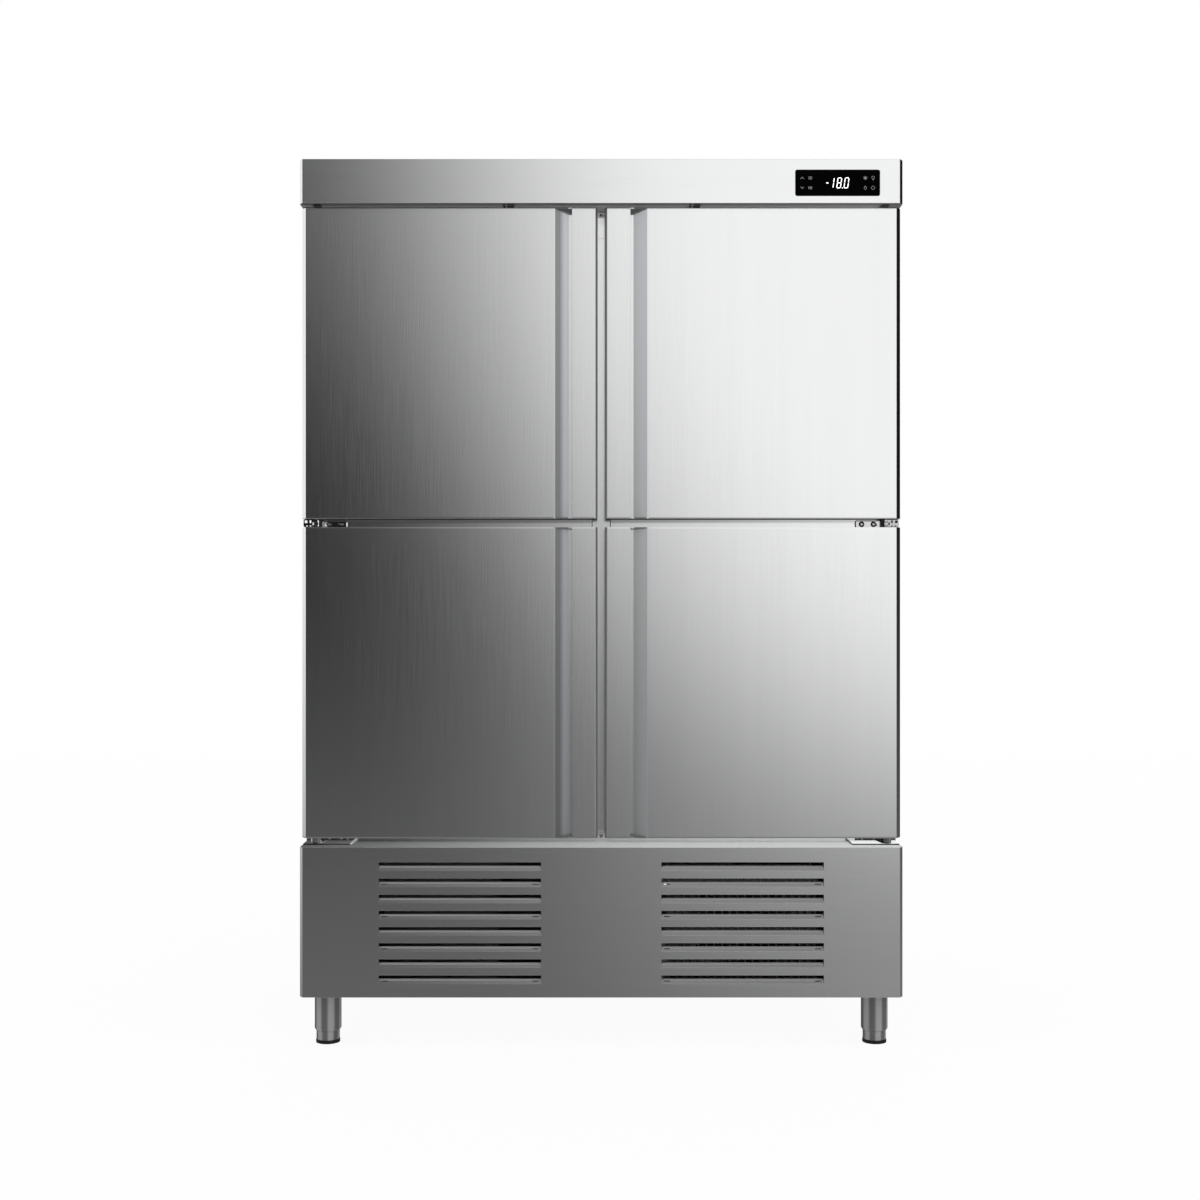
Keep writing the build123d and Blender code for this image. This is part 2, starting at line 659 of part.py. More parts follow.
def hinge_plate_sketch(side, height, screw_rise):
    """Upright plate of a hinge about its middle, with its screw holes at a height over the middle."""
    middle_x = side * (HINGE_LOW_X + HINGE_HIGH_X) / 2
    with BuildSketch(mode=Mode.PRIVATE) as plate:
        RectangleRounded(HINGE_HIGH_X - HINGE_LOW_X, height, HINGE_PLATE_RADIUS)
        with Locations([(x - middle_x, screw_rise) for x in hinge_screw_xs(side)]):
            Circle(SCREW_RADIUS + SCREW_CLEARANCE, mode=Mode.SUBTRACT)
    return plate.sketch


def make_hinges():
    """Top, mid and bottom hinges, their pins, and the screws of hinges and brackets."""
    plate_z = FASCIA_Z - (DOOR_TOP_GAP - HINGE_CLEARANCE)
    with BuildPart() as top_hinges:
        for side in SIDES.values():
            low_x = HINGE_X - TOP_HINGE_INNER_REACH
            front_y = FRONT_Y + TOP_HINGE_SETBACK
            with BuildSketch(Plane.XY.offset(plate_z)):
                with Locations((side * (low_x + HINGE_HIGH_X) / 2, (front_y + FRAME_Y) / 2)):
                    Rectangle(HINGE_HIGH_X - low_x, FRAME_Y - front_y)
                with Locations((side * HINGE_X, HINGE_Y)):
                    Circle(PIN_RADIUS + PIN_CLEARANCE, mode=Mode.SUBTRACT)
            extrude(amount=FASCIA_Z - plate_z)
    save(top_hinges.part, "top_hinges")

    plate_y = FRAME_Y - HINGE_PLATE
    mid_height = DOOR_MID_GAP - 2 * HINGE_CLEARANCE
    boss_height = DOOR_MID_GAP - 2 * BOSS_CLEARANCE
    with BuildPart() as mid_hinges:
        for side in SIDES.values():
            with BuildSketch(hinge_plate_plane(side, MID_GAP_Z)):
                add(hinge_plate_sketch(side, mid_height, 0))
            extrude(amount=HINGE_PLATE)
            block(
                (side * (HINGE_X - MID_BOSS_RADIUS), HINGE_Y, MID_GAP_Z - MID_HINGE_ARM / 2),
                (side * HINGE_HIGH_X, plate_y, MID_GAP_Z + MID_HINGE_ARM / 2),
            )
            with Locations((side * HINGE_X, HINGE_Y, MID_GAP_Z)):
                Cylinder(MID_BOSS_RADIUS, boss_height)
                Cylinder(PIN_RADIUS + PIN_CLEARANCE, boss_height, mode=Mode.SUBTRACT)
    save(mid_hinges.part, "mid_hinges")

    bottom_height = DOOR_BOTTOM_GAP - HINGE_CLEARANCE
    bottom_middle_z = BASE_TOP_Z + bottom_height / 2
    bottom_screw_rise = HINGE_PLATE / 2
    boss_height = DOOR_BOTTOM_GAP - BOSS_CLEARANCE
    with BuildPart() as bottom_hinges:
        for side in SIDES.values():
            low_x = HINGE_X - BOTTOM_HINGE_REACH
            front_y = HINGE_Y - BOTTOM_HINGE_FRONT
            with BuildSketch(Plane.XY.offset(BASE_TOP_Z)):
                with Locations((side * (low_x + HINGE_HIGH_X) / 2, (front_y + FRAME_Y) / 2)):
                    Rectangle(HINGE_HIGH_X - low_x, FRAME_Y - front_y)
            extrude(amount=HINGE_PLATE)
            with BuildSketch(hinge_plate_plane(side, bottom_middle_z)):
                add(hinge_plate_sketch(side, bottom_height, bottom_screw_rise))
            extrude(amount=HINGE_PLATE)
            with Locations((side * HINGE_X, HINGE_Y, BASE_TOP_Z + boss_height / 2)):
                Cylinder(BOTTOM_BOSS_RADIUS, boss_height)
                Cylinder(PIN_RADIUS + PIN_CLEARANCE, boss_height, mode=Mode.SUBTRACT)
    save(bottom_hinges.part, "bottom_hinges")

    spans = [
        (BASE_TOP_Z, LOWER_DOOR_Z + PIN_REACH),
        (UPPER_DOOR_Z - DOOR_MID_GAP - PIN_REACH, UPPER_DOOR_Z + PIN_REACH),
        (FASCIA_Z - DOOR_TOP_GAP - PIN_REACH, FASCIA_Z),
    ]
    with BuildPart() as hinge_pins:
        for side in SIDES.values():
            for low_z, high_z in spans:
                with Locations((side * HINGE_X, HINGE_Y, (low_z + high_z) / 2)):
                    Cylinder(PIN_RADIUS, high_z - low_z)
    save(hinge_pins.part, "hinge_pins")

    screw_rows = [
        (MID_GAP_Z, SCREW_HEAD_RADIUS),
        (bottom_middle_z + bottom_screw_rise, LOW_SCREW_HEAD_RADIUS),
    ]
    with BuildPart() as frame_screws:
        for side in SIDES.values():
            for x in hinge_screw_xs(side):
                for z, head_radius in screw_rows:
                    with Locations((x, plate_y - SCREW_HEAD_HEIGHT / 2, z)):
                        Cylinder(head_radius, SCREW_HEAD_HEIGHT, rotation=(90, 0, 0))
                    with Locations((x, FRAME_Y - HINGE_PLATE / 2, z)):
                        Cylinder(SCREW_RADIUS, HINGE_PLATE, rotation=(90, 0, 0))
        head_y = FRAME_Y - BRACKET_THICKNESS - BRACKET_SCREW_HEIGHT / 2
        for z in (FASCIA_Z - TOP_BRACKET_DROP / 2, BASE_TOP_Z + BOTTOM_BRACKET_RISE / 2):
            with Locations((0, head_y, z)):
                Cylinder(BRACKET_SCREW_RADIUS, BRACKET_SCREW_HEIGHT, rotation=(90, 0, 0))
    save(frame_screws.part, "frame_screws")


def make_legs():
    """Leg sleeves under the tray, and a screw foot with its pad in each."""
    leg_x = SIDE_X - LEG_SIDE_INSET
    leg_y = {"front": FRONT_Y + LEG_END_INSET, "rear": BACK_Y - LEG_END_INSET}
    bore = FOOT_RADIUS + FOOT_CLEARANCE
    roof_z = LEG_HEIGHT - SLEEVE_CAP
    foot_top_z = roof_z - FOOT_STOP_GAP

    with BuildPart() as sleeve:
        with BuildSketch(Plane.XZ):
            with BuildLine():
                Polyline(
                    (bore, SLEEVE_BOTTOM),
                    (bore + SLEEVE_LIP, SLEEVE_BOTTOM),
                    (SLEEVE_RADIUS, SLEEVE_BOTTOM + SLEEVE_TAPER),
                    (SLEEVE_RADIUS, LEG_HEIGHT),
                    (0, LEG_HEIGHT),
                    (0, roof_z),
                    (bore, roof_z),
                    close=True,
                )
            make_face()
        revolve(axis=Axis.Z)

    with BuildPart() as leg_sleeves:
        with Locations([(side * leg_x, y) for side in SIDES.values() for y in leg_y.values()]):
            add(sleeve.part)
    save(leg_sleeves.part, "leg_sleeves")

    for end, y in leg_y.items():
        for name, side in SIDES.items():
            with BuildPart() as foot:
                with Locations((side * leg_x, y, (PAD_HEIGHT + foot_top_z) / 2)):
                    Cylinder(FOOT_RADIUS, foot_top_z - PAD_HEIGHT)
            save(foot.part, f"foot_{end}_{name}")

            with BuildPart() as foot_pad:
                with Locations((side * leg_x, y, PAD_HEIGHT / 2)):
                    Cylinder(PAD_RADIUS, PAD_HEIGHT)
                fillet(foot_pad.edges().filter_by(GeomType.CIRCLE), radius=PAD_EDGE_RADIUS)
            save(foot_pad.part, f"foot_pad_{end}_{name}")


def make_shelving():
    """Racks, L runners and wire shelves, in two columns."""
    rack_top_z = CAVITY_TOP_Z - EVAPORATOR_HEIGHT
    rack_y = (POST_BACK_Y + RACK_FRONT_INSET, CAVITY_BACK_Y - RACK_REAR_INSET)
    spacing = (rack_top_z - CAVITY_BOTTOM_Z) / (SHELF_LEVELS + 1)
    levels = [CAVITY_BOTTOM_Z + spacing * (i + 1) for i in range(SHELF_LEVELS)]
    inner_x = CENTRE_RACK_WIDTH / 2
    outer_x = CAVITY_X - RACK_THICKNESS

    with BuildPart() as shelf_racks:
        for y in rack_y:
            low_y = y - RACK_WIDTH / 2
            high_y = y + RACK_WIDTH / 2
            block((-inner_x, low_y, CAVITY_BOTTOM_Z), (inner_x, high_y, rack_top_z))
            for side in SIDES.values():
                block((side * outer_x, low_y, CAVITY_BOTTOM_Z), (side * CAVITY_X, high_y, rack_top_z))
    save(shelf_racks.part, "shelf_racks")

    with BuildPart() as shelf_runners:
        low_y = rack_y[0] - RACK_WIDTH / 2
        high_y = rack_y[1] + RACK_WIDTH / 2
        for side in SIDES.values():
            for level in levels:
                for wall_x, inward in ((inner_x, 1), (outer_x, -1)):
                    back_z = level - RUNNER_SHEET
                    sheet_x = wall_x + inward * RUNNER_SHEET
                    tip_x = wall_x + inward * RUNNER_WIDTH
                    block((side * wall_x, low_y, back_z), (side * sheet_x, high_y, back_z + RUNNER_HEIGHT))
                    block((side * wall_x, low_y, back_z), (side * tip_x, high_y, level))
    save(shelf_runners.part, "shelf_runners")

    shelf_low_x = inner_x + RUNNER_SHEET + SHELF_CLEARANCE
    shelf_high_x = outer_x - RUNNER_SHEET - SHELF_CLEARANCE
    shelf_low_y = POST_BACK_Y + SHELF_FRONT_CLEARANCE
    shelf_high_y = CAVITY_BACK_Y - SHELF_BACK_CLEARANCE
    rim_width = shelf_high_x - shelf_low_x - 2 * RIM_WIRE_RADIUS
    rim_depth = shelf_high_y - shelf_low_y - 2 * RIM_WIRE_RADIUS
    wire_count = int((rim_width - CROSS_WIRE_PITCH) / CROSS_WIRE_PITCH)

    with BuildPart() as shelf:
        rim_ends = [(i * rim_width / 2, j * rim_depth / 2) for i in (-1, 1) for j in (-1, 1)]
        with GridLocations(rim_width, 0, 2, 1):
            Cylinder(RIM_WIRE_RADIUS, rim_depth, rotation=(90, 0, 0))
        with GridLocations(0, rim_depth, 1, 2):
            Cylinder(RIM_WIRE_RADIUS, rim_width, rotation=(0, 90, 0))
        with Locations(rim_ends):
            Sphere(RIM_WIRE_RADIUS)
        cross_z = RIM_WIRE_RADIUS + CROSS_WIRE_RADIUS - WIRE_SINK
        with Locations((0, 0, cross_z)):
            with GridLocations(CROSS_WIRE_PITCH, 0, wire_count, 1):
                Cylinder(CROSS_WIRE_RADIUS, rim_depth, rotation=(90, 0, 0))

    with BuildPart() as shelves:
        middle_x = (shelf_low_x + shelf_high_x) / 2
        middle_y = (shelf_low_y + shelf_high_y) / 2
        shelf_heights = [level + RIM_WIRE_RADIUS for level in levels]
        with Locations([(side * middle_x, middle_y, z) for side in SIDES.values() for z in shelf_heights]):
            add(shelf.part)
    save(shelves.part, "shelves")


def make_coil(name, low, high, tube_places):
    """Fin block between two corners with tubes along X at places in Y and Z."""
    with BuildPart() as coil:
        pitch = (high[0] - low[0] - FIN_SHEET) / (FIN_COUNT - 1)
        for i in range(FIN_COUNT):
            fin_x = low[0] + i * pitch
            block((fin_x, low[1], low[2]), (fin_x + FIN_SHEET, high[1], high[2]))
        middle_x = (low[0] + high[0]) / 2
        with Locations([(middle_x, y, z) for y, z in tube_places]):
            Cylinder(TUBE_RADIUS, high[0] - low[0] + 2 * TUBE_OVERHANG, rotation=(0, 90, 0))
    save(coil.part, name)


def motor_front(face_y):
    """Front of a fan's motor behind the inner face of its plate."""
    return face_y + FAN_FACE_GAP + FAN_WIDTH + MOTOR_GAP


def make_fan(name, x, z, face_y, radius):
    """Fan on its shaft, behind the inner face of a plate at face_y."""
    front_y = face_y + FAN_FACE_GAP
    shaft_length = FAN_WIDTH + MOTOR_GAP + SHAFT_SEAT
    with BuildPart() as fan:
        with Locations((x, front_y + FAN_WIDTH / 2, z)):
            Cylinder(FAN_HUB_RADIUS, FAN_WIDTH, rotation=(90, 0, 0))
        hub = Plane((x, front_y + FAN_WIDTH / 2, z), x_dir=(1, 0, 0), z_dir=(0, -1, 0))
        blade_length = radius - FAN_HUB_RADIUS / 2
        with Locations(hub):
            with PolarLocations(FAN_HUB_RADIUS / 2 + blade_length / 2, FAN_BLADES):
                Box(blade_length, BLADE_CHORD, BLADE_SHEET, rotation=(BLADE_TWIST, 0, 0))
        with Locations((x, front_y + FAN_WIDTH / 2, z)):
            Cylinder(radius, FAN_WIDTH, rotation=(90, 0, 0), mode=Mode.INTERSECT)
        with Locations((x, front_y + shaft_length / 2, z)):
            Cylinder(SHAFT_RADIUS, shaft_length, rotation=(90, 0, 0))
    save(fan.part, name)


def add_motor(x, z, face_y, radius):
    """Motor behind a fan, on two arms that reach forward to the plate."""
    front_y = motor_front(face_y)
    reach = radius + FAN_OPENING_GAP + MOTOR_ARM
    with Locations((x, front_y + MOTOR_LENGTH / 2, z)):
        Cylinder(MOTOR_RADIUS, MOTOR_LENGTH, rotation=(90, 0, 0))
    for side in SIDES.values():
        block(
            (x, front_y, z - MOTOR_ARM / 2),
            (x + side * reach, front_y + MOTOR_ARM, z + MOTOR_ARM / 2),
        )
        block(
            (x + side * (reach - MOTOR_ARM), face_y, z - MOTOR_ARM / 2),
            (x + side * reach, front_y + MOTOR_ARM, z + MOTOR_ARM / 2),
        )
    with Locations((x, front_y + SHAFT_SEAT / 2, z)):
        Cylinder(SHAFT_RADIUS + SHAFT_CLEARANCE, SHAFT_SEAT, rotation=(90, 0, 0), mode=Mode.SUBTRACT)


def spread(low, length, count):
    """Middles of count equal steps along a length."""
    step = length / count
    return [low + step / 2 + i * step for i in range(count)]


def evaporator_tubes():
    """Places of the evaporator's tubes, y and z, front column first and each from the bottom up."""
    front_y = CAVITY_BACK_Y - EVAPORATOR_COIL_BACK - EVAPORATOR_COIL_DEPTH
    low_z = CAVITY_TOP_Z - EVAPORATOR_COIL_HEIGHT
    columns = spread(front_y, EVAPORATOR_COIL_DEPTH, EVAPORATOR_TUBE_COLUMNS)
    rows = spread(low_z, EVAPORATOR_COIL_HEIGHT, EVAPORATOR_TUBE_ROWS)
    return [(y, z) for y in columns for z in rows]


def condenser_tubes():
    """Places of the condenser's tubes, y and z, from the bottom up."""
    y = FRONT_Y + SHEET + CONDENSER_FRONT_GAP + CONDENSER_DEPTH / 2
    return [(y, z) for z in spread(TRAY_TOP_Z, CONDENSER_HEIGHT, CONDENSER_TUBE_ROWS)]


def make_refrigeration():
    """Evaporator with its cover, condensing unit, fans and pipes."""
    cover_front_y = CAVITY_BACK_Y - EVAPORATOR_DEPTH
    cover_low_z = CAVITY_TOP_Z - EVAPORATOR_HEIGHT
    cover_x = EVAPORATOR_WIDTH / 2
    fan_z = CAVITY_TOP_Z - EVAPORATOR_HEIGHT / 2
    cover_face_y = cover_front_y + SHEET

    with BuildPart() as evaporator_cover:
        block((-cover_x, cover_front_y, cover_low_z), (cover_x, CAVITY_BACK_Y, CAVITY_TOP_Z))
        block(
            (SHEET - cover_x, cover_face_y, cover_low_z + SHEET),
            (cover_x - SHEET, CAVITY_BACK_Y, CAVITY_TOP_Z),
            Mode.SUBTRACT,
        )
        with Locations((0, cover_front_y + SHEET / 2, fan_z)):
            Cylinder(FAN_RADIUS + FAN_OPENING_GAP, SHEET, rotation=(90, 0, 0), mode=Mode.SUBTRACT)
    save(evaporator_cover.part, "evaporator_cover")

    coil_back_y = CAVITY_BACK_Y - EVAPORATOR_COIL_BACK
    coil_x = EVAPORATOR_COIL_WIDTH / 2
    make_coil(
        "evaporator_coil",
        (-coil_x, coil_back_y - EVAPORATOR_COIL_DEPTH, CAVITY_TOP_Z - EVAPORATOR_COIL_HEIGHT),
        (coil_x, coil_back_y, CAVITY_TOP_Z),
        evaporator_tubes(),
    )
    make_fan("evaporator_fan", 0, fan_z, cover_face_y, FAN_RADIUS)

    condenser_x = LOUVRE_X
    condenser_front_y = FRONT_Y + SHEET + CONDENSER_FRONT_GAP
    condenser_back_y = condenser_front_y + CONDENSER_DEPTH
    condenser_low_x = condenser_x - CONDENSER_WIDTH / 2
    condenser_high_x = condenser_x + CONDENSER_WIDTH / 2
    condenser_top_z = TRAY_TOP_Z + CONDENSER_HEIGHT
    condenser_fan_z = TRAY_TOP_Z + CONDENSER_HEIGHT / 2
    shroud_face_y = condenser_back_y + SHEET
    make_coil(
        "condenser_coil",
        (condenser_low_x, condenser_front_y, TRAY_TOP_Z),
        (condenser_high_x, condenser_back_y, condenser_top_z),
        condenser_tubes(),
    )

    with BuildPart() as condenser_shroud:
        block(
            (condenser_low_x, condenser_back_y, TRAY_TOP_Z),
            (condenser_high_x, shroud_face_y, condenser_top_z),
        )
        for edge_x, inward in ((condenser_low_x, 1), (condenser_high_x, -1)):
            block(
                (edge_x, condenser_back_y, TRAY_TOP_Z),
                (edge_x + inward * SHEET, shroud_face_y + SHROUD_FLANGE, condenser_top_z),
            )
        with Locations((condenser_x, condenser_back_y + SHEET / 2, condenser_fan_z)):
            opening_radius = CONDENSER_FAN_RADIUS + FAN_OPENING_GAP
            Cylinder(opening_radius, SHEET, rotation=(90, 0, 0), mode=Mode.SUBTRACT)
    save(condenser_shroud.part, "condenser_shroud")
    make_fan("condenser_fan", condenser_x, condenser_fan_z, shroud_face_y, CONDENSER_FAN_RADIUS)

    with BuildPart() as fan_motors:
        add_motor(0, fan_z, cover_face_y, FAN_RADIUS)
        add_motor(condenser_x, condenser_fan_z, shroud_face_y, CONDENSER_FAN_RADIUS)
    save(fan_motors.part, "fan_motors")

    make_compressor()
    make_pipes()


def compressor_stubs():
    """Ends of the suction and discharge stubs on the compressor's dome."""
    top_z = TRAY_TOP_Z + COMPRESSOR_FOOT_HEIGHT + COMPRESSOR_HEIGHT + STUB_RISE
    return [(COMPRESSOR_X + offset_x, COMPRESSOR_Y, top_z) for offset_x in (-STUB_SPREAD, STUB_SPREAD)]


def make_compressor():
    """Hermetic compressor: domed pot on a foot plate, with two pipe stubs."""
    foot_z = TRAY_TOP_Z + COMPRESSOR_FOOT_HEIGHT
    pot_top_z = foot_z + COMPRESSOR_HEIGHT
    with BuildPart() as compressor:
        with Locations((COMPRESSOR_X, COMPRESSOR_Y, (TRAY_TOP_Z + foot_z) / 2)):
            Box(COMPRESSOR_FOOT_WIDTH, COMPRESSOR_FOOT_DEPTH, COMPRESSOR_FOOT_HEIGHT)
        with Locations((COMPRESSOR_X, COMPRESSOR_Y, (foot_z + pot_top_z) / 2)):
            Cylinder(COMPRESSOR_RADIUS, COMPRESSOR_HEIGHT)
        rims = compressor.edges().filter_by(GeomType.CIRCLE)
        fillet(rims.sort_by(Axis.Z)[-1], radius=COMPRESSOR_DOME)
        for x, y, z in compressor_stubs():
            with Locations((x, y, z - STUB_RISE)):
                Cylinder(TUBE_RADIUS, 2 * STUB_RISE)
    save(compressor.part, "compressor")


def make_pipes():
    """Suction, liquid and discharge pipes between the compressor and both coils."""
    chase_low, chase_high = chase_box(BASE_TOP_Z, CAVITY_TOP_Z)
    chase_x = (chase_low[0] + chase_high[0]) / 2
    suction_y = chase_low[1] + SUCTION_FROM_LINER
    liquid_y = chase_low[1] + LIQUID_FROM_LINER
    deck_z = BASE_TOP_Z - DECK_SHEET
    evaporator_end_x = EVAPORATOR_COIL_WIDTH / 2 + TUBE_OVERHANG
    condenser_end_x = CONDENSER_WIDTH / 2 + TUBE_OVERHANG
    liquid_turn_x = LOUVRE_X + condenser_end_x + PIPE_OUTREACH
    discharge_turn_x = LOUVRE_X - condenser_end_x - PIPE_OUTREACH
    rear_column = evaporator_tubes()[-EVAPORATOR_TUBE_ROWS:]
    inlet_y, inlet_z = rear_column[0]
    outlet_y, outlet_z = rear_column[-1]
    condenser_y, condenser_low_z = condenser_tubes()[0]
    _, condenser_high_z = condenser_tubes()[-1]
    discharge_x, discharge_y, stub_z = compressor_stubs()[1]
    suction_x = compressor_stubs()[0][0]
    suction_z = deck_z - SUCTION_DROP
    liquid_z = deck_z - LIQUID_DROP
    discharge_z = deck_z - DISCHARGE_DROP
    routes = [
        [
            (evaporator_end_x, outlet_y, outlet_z),
            (chase_x, outlet_y, outlet_z),
            (chase_x, suction_y, outlet_z),
            (chase_x, suction_y, suction_z),
            (suction_x, suction_y, suction_z),
            (suction_x, COMPRESSOR_Y, suction_z),
            (suction_x, COMPRESSOR_Y, stub_z),
        ],
        [
            (evaporator_end_x, inlet_y, inlet_z),
            (chase_x, inlet_y, inlet_z),
            (chase_x, liquid_y, inlet_z),
            (chase_x, liquid_y, liquid_z),
            (liquid_turn_x, liquid_y, liquid_z),
            (liquid_turn_x, condenser_y, liquid_z),
            (liquid_turn_x, condenser_y, condenser_low_z),
            (LOUVRE_X + condenser_end_x, condenser_y, condenser_low_z),
        ],
        [
            (discharge_x, discharge_y, stub_z),
            (discharge_x, discharge_y, discharge_z),
            (discharge_x, condenser_y, discharge_z),
            (discharge_turn_x, condenser_y, discharge_z),
            (discharge_turn_x, condenser_y, condenser_high_z),
            (LOUVRE_X - condenser_end_x, condenser_y, condenser_high_z),
        ],
    ]
    with BuildPart() as refrigerant_pipes:
        for route in routes:
            with BuildLine() as path:
                FilletPolyline(*route, radius=PIPE_BEND)
            with BuildSketch(Plane(origin=path.line @ 0, z_dir=path.line % 0)):
                Circle(PIPE_RADIUS)
            sweep(path=path.line)
    save(refrigerant_pipes.part, "refrigerant_pipes")


os.makedirs("parts", exist_ok=True)
make_shell()
make_fascia()
make_lower_panel()
make_insulated_box()
for column, side in SIDES.items():
    make_door(f"upper_{column}", side, UPPER_DOOR_Z)
    make_door(f"lower_{column}", side, LOWER_DOOR_Z)
make_hinges()
make_legs()
make_shelving()
make_refrigeration()
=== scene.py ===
import bpy
import bmesh
import json
import math
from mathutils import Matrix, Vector


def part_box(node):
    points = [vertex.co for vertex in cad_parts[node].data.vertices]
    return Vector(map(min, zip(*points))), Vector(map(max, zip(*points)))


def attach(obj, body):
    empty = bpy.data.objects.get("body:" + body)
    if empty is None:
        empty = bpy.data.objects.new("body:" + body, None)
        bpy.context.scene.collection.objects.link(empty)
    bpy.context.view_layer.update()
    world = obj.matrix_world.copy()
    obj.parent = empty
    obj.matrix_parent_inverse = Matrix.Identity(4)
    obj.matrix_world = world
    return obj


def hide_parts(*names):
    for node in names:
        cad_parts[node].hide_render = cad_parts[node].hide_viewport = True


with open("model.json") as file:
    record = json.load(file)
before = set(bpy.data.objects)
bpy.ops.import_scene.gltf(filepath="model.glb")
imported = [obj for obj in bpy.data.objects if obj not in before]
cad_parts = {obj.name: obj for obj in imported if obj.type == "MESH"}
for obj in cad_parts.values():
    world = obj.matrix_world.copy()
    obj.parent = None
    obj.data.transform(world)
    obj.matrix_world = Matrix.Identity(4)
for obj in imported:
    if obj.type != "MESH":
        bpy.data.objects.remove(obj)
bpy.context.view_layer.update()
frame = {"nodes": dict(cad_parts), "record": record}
nodes = frame["nodes"]
scene = bpy.context.scene
scene.view_settings.view_transform = "Standard"

MM = 0.001
DOORS = ("upper_left", "upper_right", "lower_left", "lower_right")
LEGS = ("front_left", "front_right", "rear_left", "rear_right")

# Camera: level, in front of the doors, as far off as the photograph's perspective asks
CAMERA_PLACE = (-0.0028, -4.189, 1.0327)
CAMERA_LENS = 50.0
SENSOR_WIDTH = 36.0

# Soft studio: azimuths in degrees from the front towards +X, elevations up from the horizon
SOFT_PANELS = [
    # azimuth, elevation, full within, gone beyond, strength
    (18, 15, 14.2, 27.6, 0.9),
    (50, 21, 48, 63, 0.2),
    (4, -4, 1, 13, 0.055),
    (-12, 17, 2, 14, 0.04),
    (-118, 25, 22, 44, 1.0),
    (-104, -17, 6, 15, 0.25),
    (140, -17, 6, 15, 0.25),
    (180, 52, 24, 52, 0.7),
]
SOFT_BANDS = [
    # elevation where it starts, elevation where it is full, strength
    (46, 74, 0.34),
    (5, -17.5, 0.142),
    (-17, -42, 0.7),
]
STUDIO_BASE = 0.006
FILL_LEVEL = 0.62
FILL_TOP = 0.75
FILL_DIRECTION = (0.25, -0.6, 0.76)
FLOOR_SIZE = 14.0
FLOOR_GLOW = 0.93

# Steel sheet: tints, roughness, grain along each axis, bump and rounding of the edges in metres
STEEL_DARK = (0.775, 0.785, 0.780)
STEEL_LIGHT = (0.815, 0.825, 0.820)
STEEL_ROUGHNESS = (0.11, 0.15)
UPRIGHT_GRAIN = (900, 900, 9)
LEVEL_GRAIN = (9, 900, 900)
FINE_BUMP = 0.00002
EDGE = 0.0012
LOUVRE_EDGE = 0.0004
DOOR_EDGE = 0.004
DOOR_FOLD = 0.0007

# Mottling: grain of plated metal, and how much coarser the broad mottling is than the fine grain
MOTTLE_GRAIN = (60, 60, 60)
SHEET_COARSER, MOULD_COARSER = 40, 20

# Spans of the normal's part along an axis in which a face comes to count as turned that way
TOWARDS_MIDDLE = (-0.2, -0.03)
FREE_EDGE = (-0.82, -0.76)
HINGE_INWARD = (-0.95, -0.85)
FULLY_DOWN = (-0.9, -0.98)
FULLY_AHEAD = (-0.8, -0.9)
FULLY_UP = (0.8, 0.9)
BLADE_TOP = (0.58, 0.68)

# Spans in metres in which a finish or a painted shade changes, and how far the normals lean there
MIDDLE = (-0.001, 0.001)
UNDERSIDE_SLOT = (-0.352, -0.336)
UNDERSIDE_DEEP = (-0.336, -0.332)
UNDERSIDE_SIDES = (-0.65, 0.65)
UNDERSIDE_LEAN = -6.0
GRIP_CREASE = (0.0855, 0.0965)
GRIP_FOLD = (0.1062, 0.1068)
GRIP_METAL = {"left": 0.73, "right": 0.67, "edge": 0.1}
GRIP_HOLLOW = -100.0
GRIP_FLOOR_END = (0.0762, 0.0764)
GRIP_FLOOR_DEPTH = (-0.304, -0.3038)
DOOR_ENDS = [
    # height, lean
    (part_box("door_lower_left_skin")[0].z, -0.15),
    (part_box("door_lower_left_skin")[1].z, 0.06),
    (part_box("door_upper_left_skin")[0].z, -0.1),
]
CAP_TOP = (1.9, 1.905)
CAP_LEAN = -0.09
RAIL_LOW, RAIL_HIGH = (1.2125, 1.2165), (1.226, 1.232)
RAIL_LEAN = -0.06
FRAME_TOP = (1.912, 1.921)
FRAME_TOP_LEAN = -0.075
LEDGE_LEAN = -6.0
BRACKET_PARTING = (1.0, 1.1)
BRACKET_LEAN = -0.14
TOP_HINGE_STEP = (0.6635, 0.6645)
LOW_HINGE_PIN = (0.644, 0.646)
LOW_HINGE_BOSS = (0.4692, 0.4696)
LOW_HINGE_PLATE = (-0.3, -0.29)
HINGE_SHOULDER = (0.655, 0.656)
HINGE_TURN = -0.06
HINGE_LEAN = -6.0

# Painted reflections around the legs: place and pitch of the stripes in degrees, turn in degrees per metre
# across, edges of the wave
STREAK_PLACE, STREAK_PITCH, STREAK_TURN = 16.3, 58.0, 8.8
STREAK_EDGES = (-0.55, 0.55)


# Material nodes

def new_material(name):
    """A material, its node tree and its shader."""
    material = bpy.data.materials.new(name)
    material.use_nodes = True
    tree = material.node_tree
    return material, tree, tree.nodes["Principled BSDF"]


def grey(level):
    """Neutral grey of a level."""
    return level, level, level


def add_node(tree, kind, **inputs):
    """A node of a kind, with its plain inputs set by name."""
    node = tree.nodes.new(kind)
    for name, value in inputs.items():
        node.inputs[name.replace("_", " ")].default_value = value
    return node


def feed(tree, socket, value):
    """Set a socket to a number or a colour, or link it to another node's output."""
    if isinstance(value, bpy.types.NodeSocket):
        tree.links.new(value, socket)
    elif isinstance(value, tuple):
        socket.default_value = (*value, 1)
    else:
        socket.default_value = value


def object_coordinates(tree, scale):
    """Object coordinates stretched by a scale along each axis."""
    place = tree.nodes.new("ShaderNodeTexCoord")
    stretch = add_node(tree, "ShaderNodeMapping", Scale=scale)
    tree.links.new(place.outputs["Object"], stretch.inputs["Vector"])
    return stretch.outputs["Vector"]


